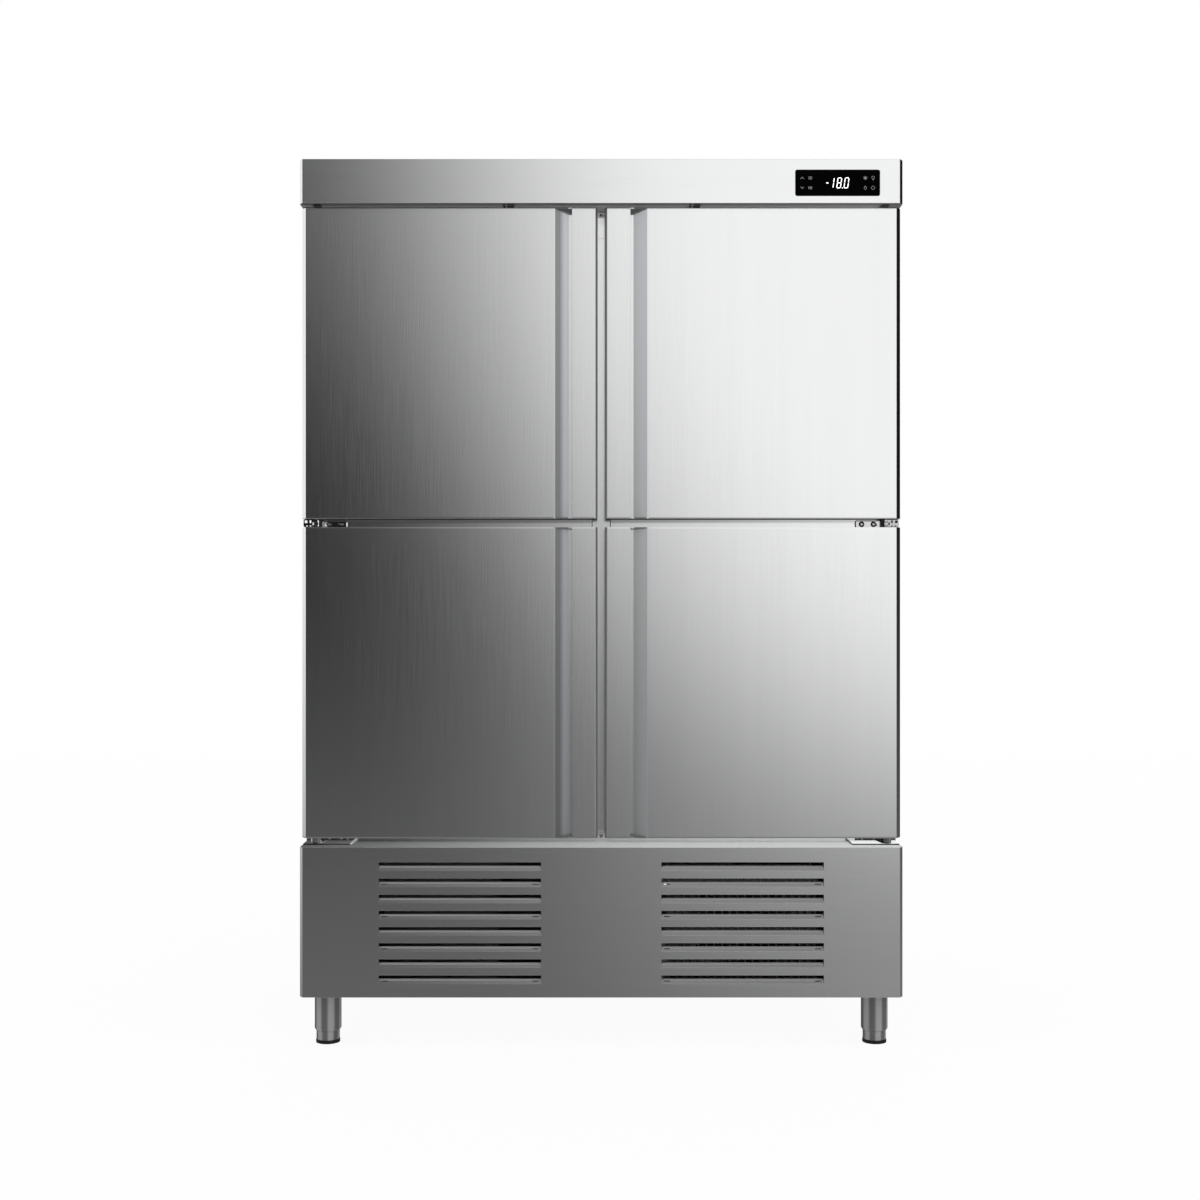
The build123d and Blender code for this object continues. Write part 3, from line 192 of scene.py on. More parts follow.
def noise(tree, scale, detail):
    """Noise on stretched object coordinates, as a 0 to 1 value."""
    texture = add_node(tree, "ShaderNodeTexNoise", Scale=1.0, Detail=detail)
    tree.links.new(object_coordinates(tree, scale), texture.inputs["Vector"])
    return texture.outputs["Fac"]


def value_range(tree, value, low, high, from_low=0.3, from_high=0.7):
    """A value mapped onto a range, from the usual span of noise unless another is given."""
    mapped = add_node(tree, "ShaderNodeMapRange", From_Min=from_low, From_Max=from_high)
    feed(tree, mapped.inputs["To Min"], low)
    feed(tree, mapped.inputs["To Max"], high)
    tree.links.new(value, mapped.inputs["Value"])
    return mapped.outputs["Result"]


def colour_between(tree, value, dark, light):
    """A colour between two, by a 0 to 1 value."""
    mix = tree.nodes.new("ShaderNodeMix")
    mix.data_type = "RGBA"
    colours = [socket for socket in mix.inputs if socket.type == "RGBA"]
    feed(tree, colours[0], dark)
    feed(tree, colours[1], light)
    tree.links.new(value, mix.inputs["Factor"])
    return next(socket for socket in mix.outputs if socket.type == "RGBA")


def math_node(tree, operation, *values):
    """A math node on values or plain numbers."""
    node = tree.nodes.new("ShaderNodeMath")
    node.operation = operation
    for socket, value in zip(node.inputs, values):
        feed(tree, socket, value)
    return node.outputs["Value"]


def object_parts(tree, output):
    """X, Y and Z of the object-space place or normal."""
    place = tree.nodes.new("ShaderNodeTexCoord")
    split = tree.nodes.new("ShaderNodeSeparateXYZ")
    tree.links.new(place.outputs[output], split.inputs["Vector"])
    return split.outputs


def along(tree, axis, span, start=0.0, end=1.0):
    """A value from start to end along an axis of the object, over a span of places."""
    return value_range(tree, object_parts(tree, "Object")[axis], start, end, *span)


def off_middle(tree, span, start=0.0, end=1.0):
    """A value from start to end by the distance from the cabinet's middle, on both sides alike."""
    off = math_node(tree, "ABSOLUTE", object_parts(tree, "Object")["X"])
    return value_range(tree, off, start, end, *span)


def facing(tree, axis, span):
    """1 on faces turned along an axis of the object, 0 elsewhere."""
    return value_range(tree, object_parts(tree, "Normal")[axis], 0.0, 1.0, *span)


def facing_middle(tree, span=TOWARDS_MIDDLE):
    """1 on faces turned towards the middle of the cabinet, 0 elsewhere."""
    side = math_node(tree, "SIGN", object_parts(tree, "Object")["X"])
    turn = math_node(tree, "MULTIPLY", object_parts(tree, "Normal")["X"], side)
    return value_range(tree, turn, 1.0, 0.0, *span)


def facing_down(tree):
    """1 on faces that look straight down, 0 elsewhere."""
    geometry = tree.nodes.new("ShaderNodeNewGeometry")
    split = tree.nodes.new("ShaderNodeSeparateXYZ")
    tree.links.new(geometry.outputs["True Normal"], split.inputs["Vector"])
    return value_range(tree, split.outputs["Z"], 0.0, 1.0, *FULLY_DOWN)


def facing_front(tree):
    """1 on faces that look straight forward, 0 elsewhere."""
    return facing(tree, "Y", FULLY_AHEAD)


def level_top(tree):
    """1 on level faces that look up, 0 elsewhere."""
    return facing(tree, "Z", FULLY_UP)


def rounded_normal(tree, radius):
    """Normal with the edges rounded by a radius."""
    rounded = add_node(tree, "ShaderNodeBevel", Radius=radius)
    rounded.samples = 4
    return rounded.outputs["Normal"]


def leaning_normal(tree, normal, **leans):
    """Normal that leans along the object's axes by values or plain numbers."""
    push = tree.nodes.new("ShaderNodeCombineXYZ")
    for axis, lean in leans.items():
        feed(tree, push.inputs[axis], lean)
    turn = tree.nodes.new("ShaderNodeVectorTransform")
    turn.vector_type = "VECTOR"
    turn.convert_from = "OBJECT"
    turn.convert_to = "WORLD"
    tree.links.new(push.outputs["Vector"], turn.inputs["Vector"])
    leant = tree.nodes.new("ShaderNodeVectorMath")
    leant.operation = "ADD"
    tree.links.new(normal, leant.inputs[0])
    tree.links.new(turn.outputs["Vector"], leant.inputs[1])
    unit = tree.nodes.new("ShaderNodeVectorMath")
    unit.operation = "NORMALIZE"
    tree.links.new(leant.outputs["Vector"], unit.inputs[0])
    return unit.outputs["Vector"]


def end_lean(tree, ends, radius):
    """Up or down lean of the normal within a radius of the ends, each a height and its lean."""
    height = object_parts(tree, "Object")["Z"]
    lean = None
    for end, way in ends:
        off = math_node(tree, "ABSOLUTE", math_node(tree, "SUBTRACT", height, end))
        near = value_range(tree, off, way, 0.0, 0.0, radius)
        lean = near if lean is None else math_node(tree, "ADD", lean, near)
    return lean


def add_bump(tree, shader, value, distance, normal=None):
    """Bump from a value, in metres, over a normal."""
    bump = add_node(tree, "ShaderNodeBump", Strength=1.0, Distance=distance)
    tree.links.new(value, bump.inputs["Height"])
    tree.links.new(bump.outputs["Normal"], shader.inputs["Normal"])
    if normal:
        tree.links.new(normal, bump.inputs["Normal"])


# Kinds of material

def sheet_grain(tree, dark, light, roughness, grain):
    """Fine grain along one axis, its tint and the roughness that follows it."""
    fine = noise(tree, grain, 4.0)
    broad = noise(tree, tuple(g / SHEET_COARSER for g in grain), 2.0)
    tint = colour_between(tree, broad, dark, light)
    return fine, tint, value_range(tree, fine, *roughness)


def brushed_metal(name, dark, light, roughness, grain, edge=0.0):
    """Brushed sheet with its edges rounded by a radius."""
    material, tree, shader = new_material(name)
    shader.inputs["Metallic"].default_value = 1.0
    fine, tint, spread = sheet_grain(tree, dark, light, roughness, grain)
    tree.links.new(tint, shader.inputs["Base Color"])
    tree.links.new(spread, shader.inputs["Roughness"])
    add_bump(tree, shader, fine, FINE_BUMP, rounded_normal(tree, edge) if edge else None)
    return material


def masked_metal(name, grain, make_mask, tint_there, metal_there, roughness_there, make_normal):
    """Brushed steel that is duller where a mask is 1; its metal there may be a function of the tree."""
    material, tree, shader = new_material(name)
    shader.inputs["Metallic"].default_value = 1.0
    fine, tint, spread = sheet_grain(tree, STEEL_DARK, STEEL_LIGHT, STEEL_ROUGHNESS, grain)
    mask = make_mask(tree)
    tree.links.new(colour_between(tree, mask, tint, tint_there(tree)), shader.inputs["Base Color"])
    tree.links.new(value_range(tree, mask, spread, roughness_there, 0, 1), shader.inputs["Roughness"])
    if metal_there != 1.0:
        metal = metal_there(tree) if callable(metal_there) else metal_there
        tree.links.new(value_range(tree, mask, 1.0, metal, 0, 1), shader.inputs["Metallic"])
    add_bump(tree, shader, fine, FINE_BUMP, make_normal(tree))
    return material


def plain_metal(name, dark, light, roughness):
    """Plated or drawn metal with faint mottling."""
    material, tree, shader = new_material(name)
    shader.inputs["Metallic"].default_value = 1.0
    mottle = noise(tree, MOTTLE_GRAIN, 4.0)
    tree.links.new(colour_between(tree, mottle, dark, light), shader.inputs["Base Color"])
    tree.links.new(value_range(tree, mottle, *roughness), shader.inputs["Roughness"])
    add_bump(tree, shader, mottle, FINE_BUMP)
    return material


def leaning_metal(name, make_tint, roughness, **leans):
    """Plated metal whose normals lean along the object's axes by numbers or functions of the tree."""
    material, tree, shader = new_material(name)
    shader.inputs["Metallic"].default_value = 1.0
    mottle = noise(tree, MOTTLE_GRAIN, 4.0)
    tree.links.new(make_tint(tree), shader.inputs["Base Color"])
    tree.links.new(value_range(tree, mottle, *roughness), shader.inputs["Roughness"])
    plain = tree.nodes.new("ShaderNodeNewGeometry").outputs["Normal"]
    pushes = {axis: lean(tree) if callable(lean) else lean for axis, lean in leans.items()}
    add_bump(tree, shader, mottle, FINE_BUMP, leaning_normal(tree, plain, **pushes))
    return material


def galvanised_metal(name):
    """Zinc-coated sheet with its spangle, with painted shade: dark grey on the faces that look forward or up.
    """
    material, tree, shader = new_material(name)
    shader.inputs["Metallic"].default_value = 1.0
    cells = add_node(tree, "ShaderNodeTexVoronoi", Scale=1.0, Randomness=1.0)
    tree.links.new(object_coordinates(tree, (70, 70, 70)), cells.inputs["Vector"])
    split = tree.nodes.new("ShaderNodeSeparateColor")
    tree.links.new(cells.outputs["Color"], split.inputs["Color"])
    zinc = colour_between(tree, split.outputs["Red"], (0.60, 0.62, 0.64), (0.72, 0.74, 0.76))
    normal = object_parts(tree, "Normal")
    looks = math_node(tree, "MAXIMUM", math_node(tree, "MULTIPLY", normal["Y"], -1.0), normal["Z"])
    inner_painted_shade = value_range(tree, looks, 0.0, 1.0, *FULLY_UP)
    tree.links.new(colour_between(tree, inner_painted_shade, zinc, grey(0.3)), shader.inputs["Base Color"])
    tree.links.new(value_range(tree, split.outputs["Green"], 0.34, 0.48, 0, 1), shader.inputs["Roughness"])
    return material


def moulded(name, tint, roughness, scale=400.0, bump=0.00004):
    """Moulded or coated piece with a fine texture; its tint is two colours or a function of the tree."""
    material, tree, shader = new_material(name)
    grain = noise(tree, (scale, scale, scale), 3.0)
    if callable(tint):
        colour = tint(tree)
    else:
        coarse = scale / MOULD_COARSER
        colour = colour_between(tree, noise(tree, (coarse, coarse, coarse), 2.0), *tint)
    tree.links.new(colour, shader.inputs["Base Color"])
    tree.links.new(value_range(tree, grain, *roughness), shader.inputs["Roughness"])
    add_bump(tree, shader, grain, bump)
    return material


def glowing(name, colour, strength):
    """Lit marks of a display."""
    material, _, shader = new_material(name)
    shader.inputs["Base Color"].default_value = (*colour, 1)
    shader.inputs["Roughness"].default_value = 0.4
    shader.inputs["Emission Color"].default_value = (*colour, 1)
    shader.inputs["Emission Strength"].default_value = strength
    return material


# Fascia and roof

def underside_deep(tree):
    """1 on the part of the fascia's underside behind the doors' fronts, 0 elsewhere."""
    return along(tree, "Y", UNDERSIDE_DEEP)


def underside_painted_shade(tree):
    """Painted shade under the fascia: dark grey, paler towards the right and towards the slot over the doors,
    steel grey on the deep part.
    """
    across = along(tree, "X", UNDERSIDE_SIDES)
    front = colour_between(tree, across, grey(0.05), grey(0.15))
    slot = colour_between(tree, across, grey(0.12), grey(0.36))
    dull = colour_between(tree, along(tree, "Y", UNDERSIDE_SLOT), front, slot)
    return colour_between(tree, underside_deep(tree), dull, grey(0.75))


def underside_normal(tree):
    """Fascia's normal, leaning forward on the deep part of the underside."""
    deep = math_node(tree, "MULTIPLY", facing_down(tree), underside_deep(tree))
    lean = math_node(tree, "MULTIPLY", deep, UNDERSIDE_LEAN)
    return leaning_normal(tree, rounded_normal(tree, EDGE), Y=lean)


# Door skins and ends

def grip_sides(tree):
    """1 on the left doors, 1 at the left doors' grip creases, and 1 at the folds along the grips."""
    left = along(tree, "X", MIDDLE, 1.0, 0.0)
    crease = math_node(tree, "MULTIPLY", left, off_middle(tree, GRIP_CREASE))
    return left, crease, off_middle(tree, GRIP_FOLD)


def free_edge(tree):
    """1 on the bevelled free edges of the doors, 0 elsewhere."""
    return facing_middle(tree, FREE_EDGE)


def grip_painted_shading(tree):
    """Painted light and shade on the grips: a faintly bluish grey standing in for the steel's look there,
    darker at the left creases, on the right doors and the free edges.
    """
    left, crease, fold = grip_sides(tree)
    streaks = noise(tree, (60, 60, 2), 2.0)
    bright = colour_between(tree, streaks, (0.63, 0.655, 0.68), (0.67, 0.695, 0.72))
    dim = colour_between(tree, streaks, (0.50, 0.515, 0.53), (0.54, 0.555, 0.57))
    grips = colour_between(tree, left, dim, bright)
    creased = colour_between(tree, crease, grips, (0.29, 0.30, 0.31))
    folded = colour_between(tree, fold, creased, STEEL_LIGHT)
    return colour_between(tree, free_edge(tree), folded, grey(0.19))


def grip_metal(tree):
    """How metallic the grips are: more on the left doors, fully at the folds, hardly on the free edges."""
    left, _, fold = grip_sides(tree)
    grips = value_range(tree, left, GRIP_METAL["right"], GRIP_METAL["left"], 0.0, 1.0)
    folded = value_range(tree, fold, grips, 1.0, 0.0, 1.0)
    return value_range(tree, free_edge(tree), folded, GRIP_METAL["edge"], 0.0, 1.0)


def door_normal(tree):
    """Door skin's normal: edges and ends rounded, the grips hollowed so that they look forward."""
    inside = math_node(tree, "SUBTRACT", 1.0, free_edge(tree))
    grip = math_node(tree, "MULTIPLY", facing_middle(tree), inside)
    hollow = math_node(tree, "MULTIPLY", grip, GRIP_HOLLOW)
    ends = end_lean(tree, DOOR_ENDS, DOOR_EDGE)
    return leaning_normal(tree, rounded_normal(tree, DOOR_FOLD), Y=hollow, Z=ends)


def cap_moulding(tree):
    """1 on the plastic of the door ends, 0 on the steel at the floor of the grip."""
    near = off_middle(tree, GRIP_FLOOR_END, 1.0, 0.0)
    ahead = along(tree, "Y", GRIP_FLOOR_DEPTH, 1.0, 0.0)
    floor = math_node(tree, "MULTIPLY", math_node(tree, "MULTIPLY", near, ahead), facing_front(tree))
    return math_node(tree, "SUBTRACT", 1.0, floor)


def cap_tint_and_shade(tree):
    """Dark grey plastic with broad mottling, made darker as painted shade for the grip ends under the fascia.
    """
    return colour_between(tree, noise(tree, (20, 20, 20), 2.0), grey(0.12), grey(0.14))


def cap_normal(tree):
    """Door ends' normal, leaning down under the fascia."""
    return leaning_normal(tree, rounded_normal(tree, DOOR_FOLD), Z=along(tree, "Z", CAP_TOP, 0.0, CAP_LEAN))


# Louvres and ledge

def blade_top(tree):
    """1 on the upper parts of the louvre blades, 0 elsewhere."""
    return facing(tree, "Z", BLADE_TOP)


def blade_top_painted_light(tree):
    """Painted light on the blades' upper parts: a pale grey standing in for the light from above on the
    steel, with streaks along them.
    """
    return colour_between(tree, noise(tree, (2, 60, 60), 2.0), grey(0.32), grey(0.37))


def louvre_normal(tree):
    """Lower panel's normal, its fine edges rounded."""
    return rounded_normal(tree, LOUVRE_EDGE)


def ledge_painted_shade(tree):
    """Painted shade on the ledge: a duller tint than the steel, with broad mottling."""
    return colour_between(tree, noise(tree, (8, 8, 8), 2.0), (0.60, 0.61, 0.61), (0.64, 0.65, 0.65))


def forward_lean(tree):
    """Normal whose level faces lean forward, so that they catch the light from the front."""
    lean = math_node(tree, "MULTIPLY", level_top(tree), LEDGE_LEAN)
    return leaning_normal(tree, rounded_normal(tree, EDGE), Y=lean)


# Door frame and the mullion's brackets

def rail_shade(tree):
    """1 on the part of the frame right behind the upper doors' lower edges, 0 elsewhere."""
    return math_node(tree, "MULTIPLY", along(tree, "Z", RAIL_LOW), along(tree, "Z", RAIL_HIGH, 1.0, 0.0))


def frame_top(tree):
    """1 on the part of the frame right under the fascia, 0 elsewhere."""
    return along(tree, "Z", FRAME_TOP)


def frame_shade(tree):
    """1 on the parts of the frame in the shade of the doors or the fascia, 0 elsewhere."""
    return math_node(tree, "MAXIMUM", rail_shade(tree), frame_top(tree))


def frame_painted_light(tree):
    """Tint of the frame's shaded parts, with painted light: paler under the fascia."""
    steel = colour_between(tree, noise(tree, (8, 8, 8), 2.0), STEEL_DARK, STEEL_LIGHT)
    return colour_between(tree, frame_top(tree), steel, grey(0.95))


def frame_normal(tree):
    """Frame's normal, leaning down in the shade."""
    rail = math_node(tree, "MULTIPLY", rail_shade(tree), RAIL_LEAN)
    top = math_node(tree, "MULTIPLY", frame_top(tree), FRAME_TOP_LEAN)
    return leaning_normal(tree, rounded_normal(tree, EDGE), Z=math_node(tree, "ADD", rail, top))


def bracket_tint(tree):
    """Plating with broad mottling."""
    return colour_between(tree, noise(tree, (90, 90, 90), 2.0), grey(0.80), grey(0.86))


def bracket_lean(tree):
    """Downward lean of the upper bracket, none of the lower one."""
    return along(tree, "Z", BRACKET_PARTING, 0.0, BRACKET_LEAN)


# Hinges and legs

def top_hinge_painted_shade(tree):
    """Painted shade: black on the top hinges, grey on their outer parts past the pin."""
    return colour_between(tree, off_middle(tree, TOP_HINGE_STEP), grey(0.006), grey(0.16))


def low_hinge_painted_shade(tree):
    """Painted shade on the lower hinges' front faces: dark grey along the front edges, black by the pin but
    for its boss, greyer on the plate.
    """
    pin = colour_between(tree, along(tree, "Z", LOW_HINGE_BOSS), grey(0.004), grey(0.2))
    edge = colour_between(tree, off_middle(tree, LOW_HINGE_PIN), grey(0.07), pin)
    return colour_between(tree, along(tree, "Y", LOW_HINGE_PLATE), edge, grey(0.13))


def hinge_inward(tree):
    """1 on the faces of the mid hinges that look towards the middle, 0 elsewhere."""
    return facing_middle(tree, HINGE_INWARD)


def hinge_plating_and_shade(tree):
    """Bright plating of the mid hinges, with painted shade: darker on the right shoulder, black on the left's
    inward faces.
    """
    plated = colour_between(tree, along(tree, "X", HINGE_SHOULDER), grey(0.86), grey(0.62))
    inward = colour_between(tree, along(tree, "X", MIDDLE), grey(0.02), grey(0.8))
    return colour_between(tree, hinge_inward(tree), plated, inward)


def hinge_lean(tree):
    """Forward lean of the mid hinges' faces towards the middle."""
    return math_node(tree, "MULTIPLY", hinge_inward(tree), HINGE_LEAN)


def leg_painted_reflection(tree):
    """Painted reflection of the studio: dark and light streaks along a drawn tube, evenly around it."""
    normal = object_parts(tree, "Normal")
    forward = math_node(tree, "MULTIPLY", normal["Y"], -1.0)
    angle = math_node(tree, "ARCTAN2", normal["X"], forward)
    across = math_node(tree, "MULTIPLY", object_parts(tree, "Object")["X"], math.radians(STREAK_TURN))
    turn = math_node(tree, "ADD", math_node(tree, "SUBTRACT", angle, math.radians(STREAK_PLACE)), across)
    wave = math_node(tree, "COSINE", math_node(tree, "MULTIPLY", turn, 360 / STREAK_PITCH))
    return colour_between(tree, value_range(tree, wave, 0.0, 1.0, *STREAK_EDGES), grey(0.1), grey(0.29))


materials = {
    "stainless": brushed_metal(
        "stainless", STEEL_DARK, STEEL_LIGHT, STEEL_ROUGHNESS, UPRIGHT_GRAIN, edge=EDGE
    ),
    "stainless_across": masked_metal(
        "stainless_across", LEVEL_GRAIN, facing_down, underside_painted_shade, underside_deep, 0.35, underside_normal
    ),
    "stainless_door": masked_metal(
        "stainless_door", UPRIGHT_GRAIN, facing_middle, grip_painted_shading, grip_metal, 0.15, door_normal
    ),
    "door_cap": masked_metal(
        "door_cap", UPRIGHT_GRAIN, cap_moulding, cap_tint_and_shade, 0.0, 0.5, cap_normal
    ),
    "stainless_louvre": masked_metal(
        "stainless_louvre", LEVEL_GRAIN, blade_top, blade_top_painted_light, 0.0, 0.6, louvre_normal
    ),
    "stainless_deck": masked_metal(
        "stainless_deck", LEVEL_GRAIN, level_top, ledge_painted_shade, 0.9, 0.2, forward_lean
    ),
    "stainless_frame": masked_metal(
        "stainless_frame", UPRIGHT_GRAIN, frame_shade, frame_painted_light, 1.0, 0.13, frame_normal
    ),
    "hinge_low": masked_metal(
        "hinge_low", LEVEL_GRAIN, facing_front, low_hinge_painted_shade, 0.1, 0.4, forward_lean
    ),
    "hinge_top": moulded("hinge_top", top_hinge_painted_shade, (0.3, 0.4)),
    "hinge_steel": leaning_metal("hinge_steel", hinge_plating_and_shade, (0.05, 0.09), X=HINGE_TURN, Y=hinge_lean),
    "bracket_steel": leaning_metal("bracket_steel", bracket_tint, (0.14, 0.2), Z=bracket_lean),
    "leg_steel": moulded("leg_steel", leg_painted_reflection, (0.45, 0.55), 300, 0.00001),
    "pin_steel": plain_metal("pin_steel", grey(0.62), grey(0.70), (0.24, 0.3)),
    "inner_steel": brushed_metal(
        "inner_steel", (0.72, 0.73, 0.73), (0.78, 0.79, 0.79), (0.26, 0.34), (700, 700, 8)
    ),
    "galvanised": galvanised_metal("galvanised"),
    "fin_aluminium": brushed_metal(
        "fin_aluminium", (0.76, 0.77, 0.78), (0.86, 0.87, 0.88), (0.28, 0.4), (300, 300, 20)
    ),
    "copper": plain_metal("copper", (0.42, 0.22, 0.14), (0.52, 0.30, 0.20), (0.3, 0.42)),
    # Black fins of the condenser, also standing in as painted shade behind the louvres
    "coil_black_and_shade": moulded("coil_black_and_shade", (grey(0.15), grey(0.18)), (0.4, 0.55)),
    "motor_black": moulded("motor_black", (grey(0.04), grey(0.055)), (0.3, 0.45)),
    "fan_plastic": moulded("fan_plastic", (grey(0.03), grey(0.05)), (0.4, 0.55)),
    "coated_wire": moulded("coated_wire", ((0.74, 0.75, 0.76), (0.80, 0.81, 0.82)), (0.3, 0.42), 120),
    "foam": moulded("foam", ((0.78, 0.70, 0.50), (0.86, 0.79, 0.60)), (0.85, 0.95), 150, 0.0004),
    "gasket_rubber": moulded("gasket_rubber", ((0.20, 0.20, 0.21), (0.26, 0.26, 0.27)), (0.55, 0.7)),
    "pad_rubber": moulded("pad_rubber", (grey(0.004), grey(0.007)), (0.6, 0.75)),
    "panel_black": moulded("panel_black", (grey(0.0006), grey(0.001)), (0.25, 0.32)),
    "sensor_black": moulded("sensor_black", (grey(0.010), grey(0.016)), (0.45, 0.6)),
    "display_white": glowing("display_white", (0.95, 0.96, 0.97), 1.0),
    "display_grey": glowing("display_grey", (0.16, 0.165, 0.17), 1.0),
}
panel_shader = materials["panel_black"].node_tree.nodes["Principled BSDF"]
panel_shader.inputs["Specular IOR Level"].default_value = 0.01

# Finishes of the nodes whose material isn't named after their slot
FINISHES = {
    "fascia": "stainless_across",
    "roof_panel": "stainless_across",
    "lower_panel": "stainless_louvre",
    "base_deck": "stainless_deck",
    "door_frame": "stainless_frame",
    "mullion_brackets": "bracket_steel",
    "bottom_hinges": "hinge_low",
    "top_hinges": "hinge_top",
    # Condenser's fins black, partly as painted shade behind the louvres
    "condenser_coil": "coil_black_and_shade",
}
for door in DOORS:
    FINISHES[f"door_{door}_skin"] = "stainless_door"
    FINISHES[f"door_{door}_ends"] = "door_cap"
for part in frame["record"]["subparts"]:
    node = nodes[part["node"]]
    finish = FINISHES.get(part["node"], part["material_slot"])
    node.data.materials.clear()
    node.data.materials.append(materials[finish])


# Meshes

def add_piece(name, body, finish, build, sharp=35):
    """A mesh piece filled by a function, riding on a body, with edges sharp past an angle."""
    shape = bmesh.new()
    build(shape)
    bmesh.ops.recalc_face_normals(shape, faces=shape.faces)
    mesh = bpy.data.meshes.new(name)
    shape.to_mesh(mesh)
    shape.free()
    mesh.materials.append(materials[finish])
    mesh.polygons.foreach_set("use_smooth", [True] * len(mesh.polygons))
    mesh.set_sharp_from_angle(angle=math.radians(sharp))
    piece = bpy.data.objects.new(name, mesh)
    scene.collection.objects.link(piece)
    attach(piece, body)
    return piece


def join_loops(shape, loops):
    """Faces between closed vertex loops of equal length, one after another."""
    for near, far in zip(loops, loops[1:]):
        for i in range(len(near)):
            j = (i + 1) % len(near)
            shape.faces.new((near[i], near[j], far[j], far[i]))


def close_loops(shape, loops):
    """Solid over vertex loops, capped at the first and the last."""
    join_loops(shape, loops)
    shape.faces.new(loops[0])
    shape.faces.new(loops[-1])


def lathe(shape, profile, place, forward=False, steps=48, flats=0):
    """Solid of revolution of (radius, height) points in millimetres, upright or facing forward.

    With flats, the last two rings are polygons of that many sides, as in a socket.
    """
    loops = []
    for index, (radius, height) in enumerate(profile):
        loop = []
        for i in range(steps):
            angle = 2 * math.pi * i / steps
            reach = radius
            if flats and index >= len(profile) - 2:
                half = math.pi / flats
                reach = radius * math.cos(half) / math.cos((angle % (2 * half)) - half)
            a, b = reach * math.cos(angle), reach * math.sin(angle)
            offset = (a, -height, b) if forward else (a, b, height)
            loop.append(shape.verts.new(Vector(place) + Vector(offset) * MM))
        loops.append(loop)
    close_loops(shape, loops)


def turned(profile, place, steps):
    """Function that builds an upright solid of revolution at a place."""
    return lambda shape: lathe(shape, profile, place, steps=steps)


def prism(shape, outline, back_y, front_y):
    """Prism over an outline of (x, z) points between two depths."""
    close_loops(shape, [[shape.verts.new((x, y, z)) for x, z in outline] for y in (back_y, front_y)])


def wire(shape, points, radius, closed=False, sides=10):
    """Round wire along points that lie in a plane across the depth."""
    across = Vector((0, 1, 0))
    loops = []
    count = len(points)
    for i, point in enumerate(points):
        before = points[(i - 1) % count] if closed or i else point
        after = points[(i + 1) % count] if closed or i + 1 < count else point
        side = (Vector(after) - Vector(before)).normalized().cross(across)
        loop = []
        for k in range(sides):
            angle = 2 * math.pi * k / sides
            offset = side * (radius * math.cos(angle)) + across * (radius * math.sin(angle))
            loop.append(shape.verts.new(Vector(point) + offset))
        loops.append(loop)
    if closed:
        join_loops(shape, loops + loops[:1])
    else:
        close_loops(shape, loops)


def arc(centre, radius, start, end, steps):
    """Points (x, z) along an arc, angles in degrees from +X."""
    angles = [math.radians(start + (end - start) * i / steps) for i in range(steps + 1)]
    return [(centre[0] + radius * math.cos(a), centre[1] + radius * math.sin(a)) for a in angles]


def rounded_box(x0, x1, z0, z1, radius, steps=5):
    """Outline of a rectangle with rounded corners."""
    points = []
    for x, z, start in ((x1, z1, 0), (x0, z1, 90), (x0, z0, 180), (x1, z0, 270)):
        centre = (x + (radius if x == x0 else -radius), z + (radius if z == z0 else -radius))
        points += arc(centre, radius, start, start + 90, steps)
    return points


# Controller display, in millimetres from the middle of the controller's front

DIGIT_HALF_WIDTH = 4.3
DIGIT_HALF_HEIGHT = 11.6
DIGIT_STROKE = 1.9
DIGIT_GAP = 0.5
DIGIT_SLANT = math.tan(math.radians(8))
DIGITS = ((-13.4, "bc"), (3.8, "abcdefg"), (20.4, "abcdef"))
POINT_PLACE, POINT_SIZE = (11.0, -11.7), 2.2
MINUS_PLACE, MINUS_WIDTH, MINUS_HEIGHT = (-23.4, -0.2), 4.6, 2.2
ICON_STROKE = 0.85
ICON_COLUMNS = (-81.3, -62.8, 63.6, 81.5)
ICON_ROWS = (11.2, -11.2)
MARK_THICKNESS = 0.35

controller_low, controller_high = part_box("controller")
CONTROLLER_X = (controller_low.x + controller_high.x) / 2
CONTROLLER_Z = (controller_low.z + controller_high.z) / 2
CONTROLLER_Y = controller_low.y


def add_mark(shape, outline):
    """A mark on the controller's front over an outline in millimetres."""
    places = [(CONTROLLER_X + x * MM, CONTROLLER_Z + z * MM) for x, z in outline]
    prism(shape, places, CONTROLLER_Y, CONTROLLER_Y - MARK_THICKNESS * MM)


def add_strokes(shape, centre, points):
    """Straight strokes with square ends through points given from an icon's middle."""
    places = [Vector((centre[0] + x, centre[1] + z)) for x, z in points]
    for start, end in zip(places, places[1:]):
        reach = (end - start).normalized() * ICON_STROKE / 2
        side = Vector((-reach.y, reach.x))
        near, far = start - reach, end + reach
        add_mark(shape, [near - side, far - side, far + side, near + side])


def digit_segment(name):
    """Outline of one of the seven segments about a digit's middle."""
    w, h, half = DIGIT_HALF_WIDTH, DIGIT_HALF_HEIGHT, DIGIT_STROKE / 2
    level = {"a": h, "g": 0, "d": -h}
    if name in level:
        z = level[name]
        reach = w - DIGIT_GAP
        return [
            (-reach, z), (half - reach, z + half), (reach - half, z + half),
            (reach, z), (reach - half, z - half), (half - reach, z - half),
        ]
    x = w if name in "bc" else -w
    low, high = (DIGIT_GAP, h - DIGIT_GAP) if name in "bf" else (DIGIT_GAP - h, -DIGIT_GAP)
    return [
        (x, low), (x + half, low + half), (x + half, high - half),
        (x, high), (x - half, high - half), (x - half, low + half),
    ]


